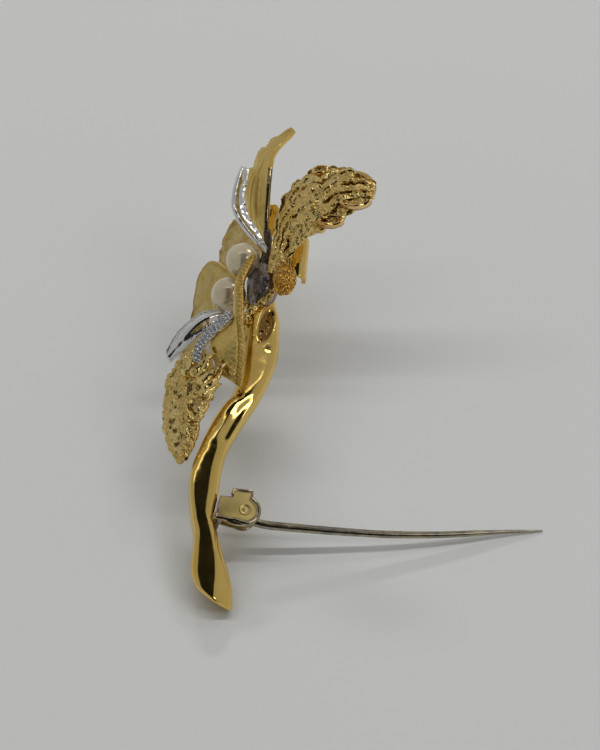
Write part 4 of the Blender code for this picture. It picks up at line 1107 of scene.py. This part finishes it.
qs = np.linspace(0, 1, 90)
calyx = curve([(-5.3, 24.2, 0.7), (-4.9, 25.4, 1.1), (-4.1, 26.5, 1.4), (-3.2, 27.6, 1.8), (-2.5, 28.8, 2.2), (-2.3, 30.2, 2.4)], qs)
calyx[:, 1] += 0.16 * np.sin(qs * 17)
calyx[:, 0] += 0.10 * np.cos(qs * 14)
knots = [tube("calyx_rim", calyx, 0.46 + 0.10 * np.sin(qs * 31), [nugget], 30, bumpy(151, 0.24, 0.45))]
for k, (b0, l0, a0, r0) in enumerate(((-3.75, 22.4, 1.20, 0.20), (-2.9, 21.7, 1.30, 0.24), (-3.95, 23.8, 1.02, 0.16))):
    knots.append(ball("drop%d" % k, (b0, l0, a0), (r0, r0, r0 * 0.8), [gold], 20, 12))
add(join("calyx_rim", knots), "brooch", "textured_gold")

# ------------------------------------------------------------ catch
CATCH_IN_R, CATCH_T, CATCH_L0, CATCH_L1, CATCH_B, CATCH_A, CATCH_LEAN = 0.78, 0.55, 31.2, 36.8, -0.20, 1.36, -0.12


def catch_piece():
    ri, ro = CATCH_IN_R, CATCH_IN_R + CATCH_T
    outer, inner = [], []
    for k in range(33):
        th = math.radians(-90 + 180 * k / 32)
        outer.append((CATCH_B + ro * math.sin(th), CATCH_A + ro * math.cos(th)))
        inner.append((CATCH_B + ri * math.sin(th), CATCH_A + ri * math.cos(th)))
    lip, foot = 0.62, -1.10
    pts = [(CATCH_B - ro, foot)] + outer + [(CATCH_B + ro, lip), (CATCH_B + ri, lip)] + inner[::-1]
    pts += [(CATCH_B - ri, foot)]
    ob = bevelled("catch_hook", [(p[0], p[1]) for p in pts], CATCH_L0, CATCH_L1, 0.12, [gold])
    # it was drawn with l upwards: swap l and a, then lean it
    inv = (np.array([v.co for v in ob.data.vertices], float) / MM - SHIFT) @ ROT
    out = np.stack((inv[:, 0] + CATCH_LEAN * (inv[:, 2] - CATCH_L0), inv[:, 2], inv[:, 1]), -1)
    ob.data.vertices.foreach_set("co", place(out).astype(np.float32).ravel())
    ob.data.flip_normals()
    ob.data.update()
    foot_ob = bevelled("catch_foot", [(-3.3, 33.7), (-1.7, 33.9), (-1.9, 36.0), (-3.3, 36.2)], -1.0, 0.9, 0.15, [gold])
    return join("catch_hook", [ob, foot_ob])


add(catch_piece(), "brooch", "polished_gold", "catch")

# ------------------------------------------------------------ hinge and pin
CHEEK_R, CHEEK_T, CHEEK_OUT, RIVET_R, RIVET_HEAD_R, RIVET_CLEAR, EYE_R, EYE_HALF = 1.72, 0.55, 1.60, 0.45, 0.72, 0.06, 1.42, 0.96


def cheek_outline():
    pts = []
    for k in range(41):
        th = math.radians(-112 + 155 * k / 40)
        pts.append((AXIS_B + CHEEK_R * math.cos(th), AXIS_L + CHEEK_R * math.sin(th)))
    pts += [(0.50, 1.05), (0.42, 2.02), (-2.05, 1.62), (-1.95, 0.75)]
    pts += [(-3.35, 0.55), (-3.35, -2.30), (-2.45, -2.12), (-1.6, -2.15)]
    return pts


parts = [bevelled("hinge_cheeks", cheek_outline(), CHEEK_OUT - CHEEK_T, CHEEK_OUT, 0.20, [cheek_face, edge_gold]),
         bevelled("far_cheek", cheek_outline(), -CHEEK_OUT, -CHEEK_OUT + CHEEK_T, 0.14, [cheek_face, edge_gold]),
         bevelled("base", [(-3.34, -2.25), (-2.40, -2.05), (-2.10, 0.62), (-3.34, 0.50)], -1.4, 1.4, 0.1, [edge_gold]),
         bevelled("tab", [(-1.99, 1.02), (-0.55, 1.24), (-0.60, 1.84), (-2.00, 1.60)], -1.45, 1.45, 0.12, [cheek_face, edge_gold])]
parts.append(ball("solder_a", (-3.35, -2.15, 1.45), (0.42, 0.45, 0.42), [edge_gold], 32, 20))
# near-black solder under the hinge base: oxide and painted shade
parts.append(ball("solder_b", (-3.05, -3.2, 0.9), (0.32, 0.6, 0.5), [solder_oxide_and_shade], 32, 20))
rim = np.array(cheek_outline()[:42][::-1] + [(-1.4, -2.20), (-2.4, -2.18), (-3.2, -2.25)])
rim = np.vstack((rim[0:42:3], [(-1.0, -2.10), (-1.7, -2.22), (-2.5, -2.2), (-3.2, -2.3)]))
rim[:14] = (rim[:14] - (AXIS_B, AXIS_L)) * 0.97 + (AXIS_B, AXIS_L)
parts.append(tube("cheek_rim", np.column_stack((rim, np.full(len(rim), CHEEK_OUT - 0.10))), 0.36, [edge_gold], 20))
tab_rim = [(-1.95, 1.10), (-1.95, 1.62), (-0.65, 1.82), (0.36, 1.98), (0.44, 1.25)]
parts.append(tube("tab_rim", np.column_stack((tab_rim, np.full(5, CHEEK_OUT - 0.02))), 0.20, [edge_gold], 18))
parts.append(tube("solder_c", [(-3.3, -2.3, 1.28), (-2.4, -2.15, 1.36), (-1.6, -2.35, 1.38), (-0.9, -2.4, 1.36), (-0.05, -2.3, 1.34),
                               (0.8, -2.1, 1.32), (1.4, -1.6, 1.3)],
                  (0.42, 0.36, 0.42, 0.42, 0.40, 0.36, 0.26), [edge_gold], 24))
add(join("hinge_cheeks", parts), "brooch", "polished_gold", "hinge_bracket")


def turned(name, profile, mats, seg=64):
    pr = np.array(profile, float)
    a = 2 * np.pi * np.arange(seg) / seg
    P = np.stack((AXIS_B + pr[:, :1] * np.cos(a), AXIS_L + pr[:, :1] * np.sin(a),
                  np.repeat(pr[:, 1:], seg, 1)), -1)
    faces = grid_faces(len(pr), seg, 0, closed=True)
    faces.append(tuple(range(seg)))
    faces.append(tuple((len(pr) - 1) * seg + k for k in range(seg)))
    return add_mesh(name, P.reshape(-1, 3), faces, mats, sharp=50)


head = CHEEK_OUT + RIVET_CLEAR - 0.05
dome = [(RIVET_HEAD_R, head), (RIVET_HEAD_R, head + 0.12), (RIVET_HEAD_R - 0.06, head + 0.18), (RIVET_HEAD_R - 0.16, head + 0.17),
        (RIVET_HEAD_R - 0.24, head + 0.10), (0.36, head + 0.09), (0.2, head + 0.14), (0.05, head + 0.16)]
add(turned("hinge_rivet_fine", [(r, -z) for r, z in dome[::-1]] + [(RIVET_R, -head), (RIVET_R, head)] + dome,
           [cheek_face]), "brooch", "polished_gold", "hinge_rivet")

WIRE = [(0.30, -1.02, 0.0), (1.5, -1.20, 0.0), (3.2, -1.18, 0.0), (7.1, -0.58, 0.0), (12.0, 0.26, 0.0),
        (16.9, 1.19, 0.0), (21.7, 2.33, 0.0), (26.6, 3.72, 0.0), (31.4, 5.24, 0.0), (36.5, 6.75, 0.0)]


def wire_radius(t):
    r = np.where(t < 0.30, 0.54, 0.54 + (0.40 - 0.54) * (t - 0.30) / 0.50)
    return np.where(t < 0.80, r, 0.40 + (0.11 - 0.40) * (t - 0.80) / 0.20)


ts = np.linspace(0, 1, 200)
wire = tube("pin_wire_fine", curve(WIRE, ts), wire_radius(ts), [steel], seg=28,
            relief=lambda P, r: (0.012 * noise(P, 0.9, 131), np.zeros(r.shape)))
eye = turned("pin_eye", [(RIVET_R + 0.03, -EYE_HALF)] + [(EYE_R - 0.15 + 0.15 * math.sin(q), -EYE_HALF + 0.15 - 0.15 * math.cos(q))
             for q in np.linspace(0, math.pi / 2, 5)] + [(EYE_R - 0.15 + 0.15 * math.cos(q), EYE_HALF - 0.15 + 0.15 * math.sin(q))
             for q in np.linspace(0, math.pi / 2, 5)] + [(RIVET_R + 0.03, EYE_HALF)], [steel])
add(join("pin_wire_fine", [wire, eye]), "pin", "tarnished_pin", "pin")

# ------------------------------------------------------------ floor
def floor_material():
    m = bpy.data.materials.new("floor_paper")
    m.use_nodes = True
    n, l = m.node_tree.nodes, m.node_tree.links
    b = n["Principled BSDF"]
    tc = n.new("ShaderNodeTexCoord")
    t = n.new("ShaderNodeTexNoise")
    t.inputs["Scale"].default_value = 9.0
    t.inputs["Detail"].default_value = 2.0
    l.new(tc.outputs["Object"], t.inputs["Vector"])
    r = n.new("ShaderNodeValToRGB")
    r.color_ramp.elements[0].position = 0.3
    r.color_ramp.elements[0].color = (0.615, 0.624, 0.620, 1)
    r.color_ramp.elements[1].position = 0.7
    r.color_ramp.elements[1].color = (0.630, 0.637, 0.630, 1)
    l.new(t.outputs["Fac"], r.inputs["Fac"])
    l.new(r.outputs["Color"], b.inputs["Base Color"])
    b.inputs["Roughness"].default_value = 0.85
    b.inputs["Specular IOR Level"].default_value = 0.2
    return m


me = bpy.data.meshes.new("floor")
me.from_pydata([(-3, -3, -0.00003), (3, -3, -0.00003), (3, 3, -0.00003), (-3, 3, -0.00003)], [], [(0, 1, 2, 3)])
me.materials.append(floor_material())
floor = bpy.data.objects.new("floor", me)
bpy.context.scene.collection.objects.link(floor)

# ------------------------------------------------------------ surroundings and light
SIDE, TOP, BACKW, BLACK = 0.40, 0.34, 0.36, 0.012
world = bpy.data.worlds.new("studio")
bpy.context.scene.world = world
world.use_nodes = True
nt = world.node_tree
nodes, links = nt.nodes, nt.links
bg = nodes["Background"]
tc = nodes.new("ShaderNodeTexCoord")
sep = nodes.new("ShaderNodeSeparateXYZ")
links.new(tc.outputs["Generated"], sep.inputs["Vector"])


def smooth_map(src, lo, hi, a=0.0, b=1.0):
    r = nodes.new("ShaderNodeMapRange")
    r.interpolation_type = "SMOOTHSTEP"
    for key, val in (("From Min", lo), ("From Max", hi), ("To Min", a), ("To Max", b)):
        r.inputs[key].default_value = val
    links.new(src, r.inputs["Value"])
    return r.outputs["Result"]


def times(a, b):
    m = nodes.new("ShaderNodeMath")
    m.operation = "MULTIPLY"
    links.new(a, m.inputs[0])
    links.new(b, m.inputs[1])
    return m.outputs[0]


def mixed(fac, a, b):
    x = nodes.new("ShaderNodeMix")
    x.data_type = "RGBA"
    links.new(fac, [i for i in x.inputs if i.name == "Factor" and i.type == "VALUE"][0])
    for sock, val in (("A", a), ("B", b)):
        s = [i for i in x.inputs if i.name == sock and i.type == "RGBA"][0]
        if isinstance(val, tuple):
            s.default_value = (*val, 1.0)
        else:
            links.new(val, s)
    return [o for o in x.outputs if o.type == "RGBA"][0]


X, Y, Z = sep.outputs["X"], sep.outputs["Y"], sep.outputs["Z"]
dark = times(times(smooth_map(X, -0.36, -0.28), smooth_map(X, 0.40, 0.50, 1.0, 0.0)), smooth_map(Y, 0.11, 0.15, 1.0, 0.0))
sky = mixed(smooth_map(Z, 0.2, 0.9), (SIDE, SIDE * 0.995, SIDE * 0.97), (TOP, TOP, TOP * 0.99))
sky = mixed(dark, sky, (BLACK, BLACK, BLACK * 0.9))
bar = times(times(smooth_map(X, -0.55, -0.45), smooth_map(X, 0.50, 0.60, 1.0, 0.0)),
            times(smooth_map(Y, 0.145, 0.16), smooth_map(Y, 0.195, 0.215, 1.0, 0.0)))
bar = times(bar, smooth_map(Z, 0.3, 0.5))
sky = mixed(bar, sky, (1.5, 1.48, 1.4))
links.new(sky, bg.inputs["Color"])
bg.inputs["Strength"].default_value = 1.0


def lamp(name, direction, distance, size, size_y, power, colour=(1, 1, 1)):
    d = Vector(direction).normalized()
    li = bpy.data.lights.new(name, "AREA")
    li.shape = "RECTANGLE"
    li.size, li.size_y = size, size_y
    li.energy = power
    li.color = colour
    ob = bpy.data.objects.new(name, li)
    bpy.context.scene.collection.objects.link(ob)
    ob.location = d * distance + Vector((0, 0, 0.01))
    ax = (Vector((1, 0, 0)) - d * d.x).normalized()
    ob.rotation_mode = "QUATERNION"
    ob.rotation_quaternion = Matrix((ax, d.cross(ax), d)).transposed().to_quaternion()
    return ob


over = lamp("overhead", (-0.12, 0.17, 1.0), 0.9, 1.60, 0.035, 3.45)
back_lamp = lamp("low_back", (-0.10, 0.87, 0.48), 0.9, 0.20, 0.05, 1.55)
for o in (over, back_lamp):      # they light the floor; the metal mirrors the surroundings and the two lamps below
    o.visible_glossy = False
lamp("key", (0.54, -0.34, 0.77), 0.8, 0.36, 0.13, 0.62, (1.0, 0.985, 0.95))
lamp("second", (0.46, 0.50, 0.73), 0.8, 0.20, 0.10, 0.35)

# ------------------------------------------------------------ camera
CAM = (-17.689, -115.751, 309.040)
RIGHT = (0.968249, 0.198697, 0.151705)
UP = (-0.242348, 0.894951, 0.374607)
BACK = (-0.061336, -0.399478, 0.914689)
cam_data = bpy.data.cameras.new("camera")
cam_data.lens = 2706.0 / 750.0 * 36.0
cam_data.sensor_width = 36.0
cam_data.sensor_fit = "AUTO"
cam_data.clip_start, cam_data.clip_end = 0.01, 20.0
camera = bpy.data.objects.new("camera", cam_data)
bpy.context.scene.collection.objects.link(camera)
axes = [Vector(ROT @ np.array(v)).normalized() for v in (RIGHT, UP, BACK)]
camera.matrix_world = Matrix.Translation(Vector(place(CAM))) @ Matrix((axes[0], axes[1], axes[2])).transposed().to_4x4()
bpy.context.scene.camera = camera
bpy.context.scene.view_settings.view_transform = "Standard"
bpy.context.scene.view_settings.look = "None"

# ------------------------------------------------------------ size
bpy.context.view_layer.update()
print("triangles:", sum(sum(len(p.vertices) - 2 for p in o.data.polygons) for o in pieces))
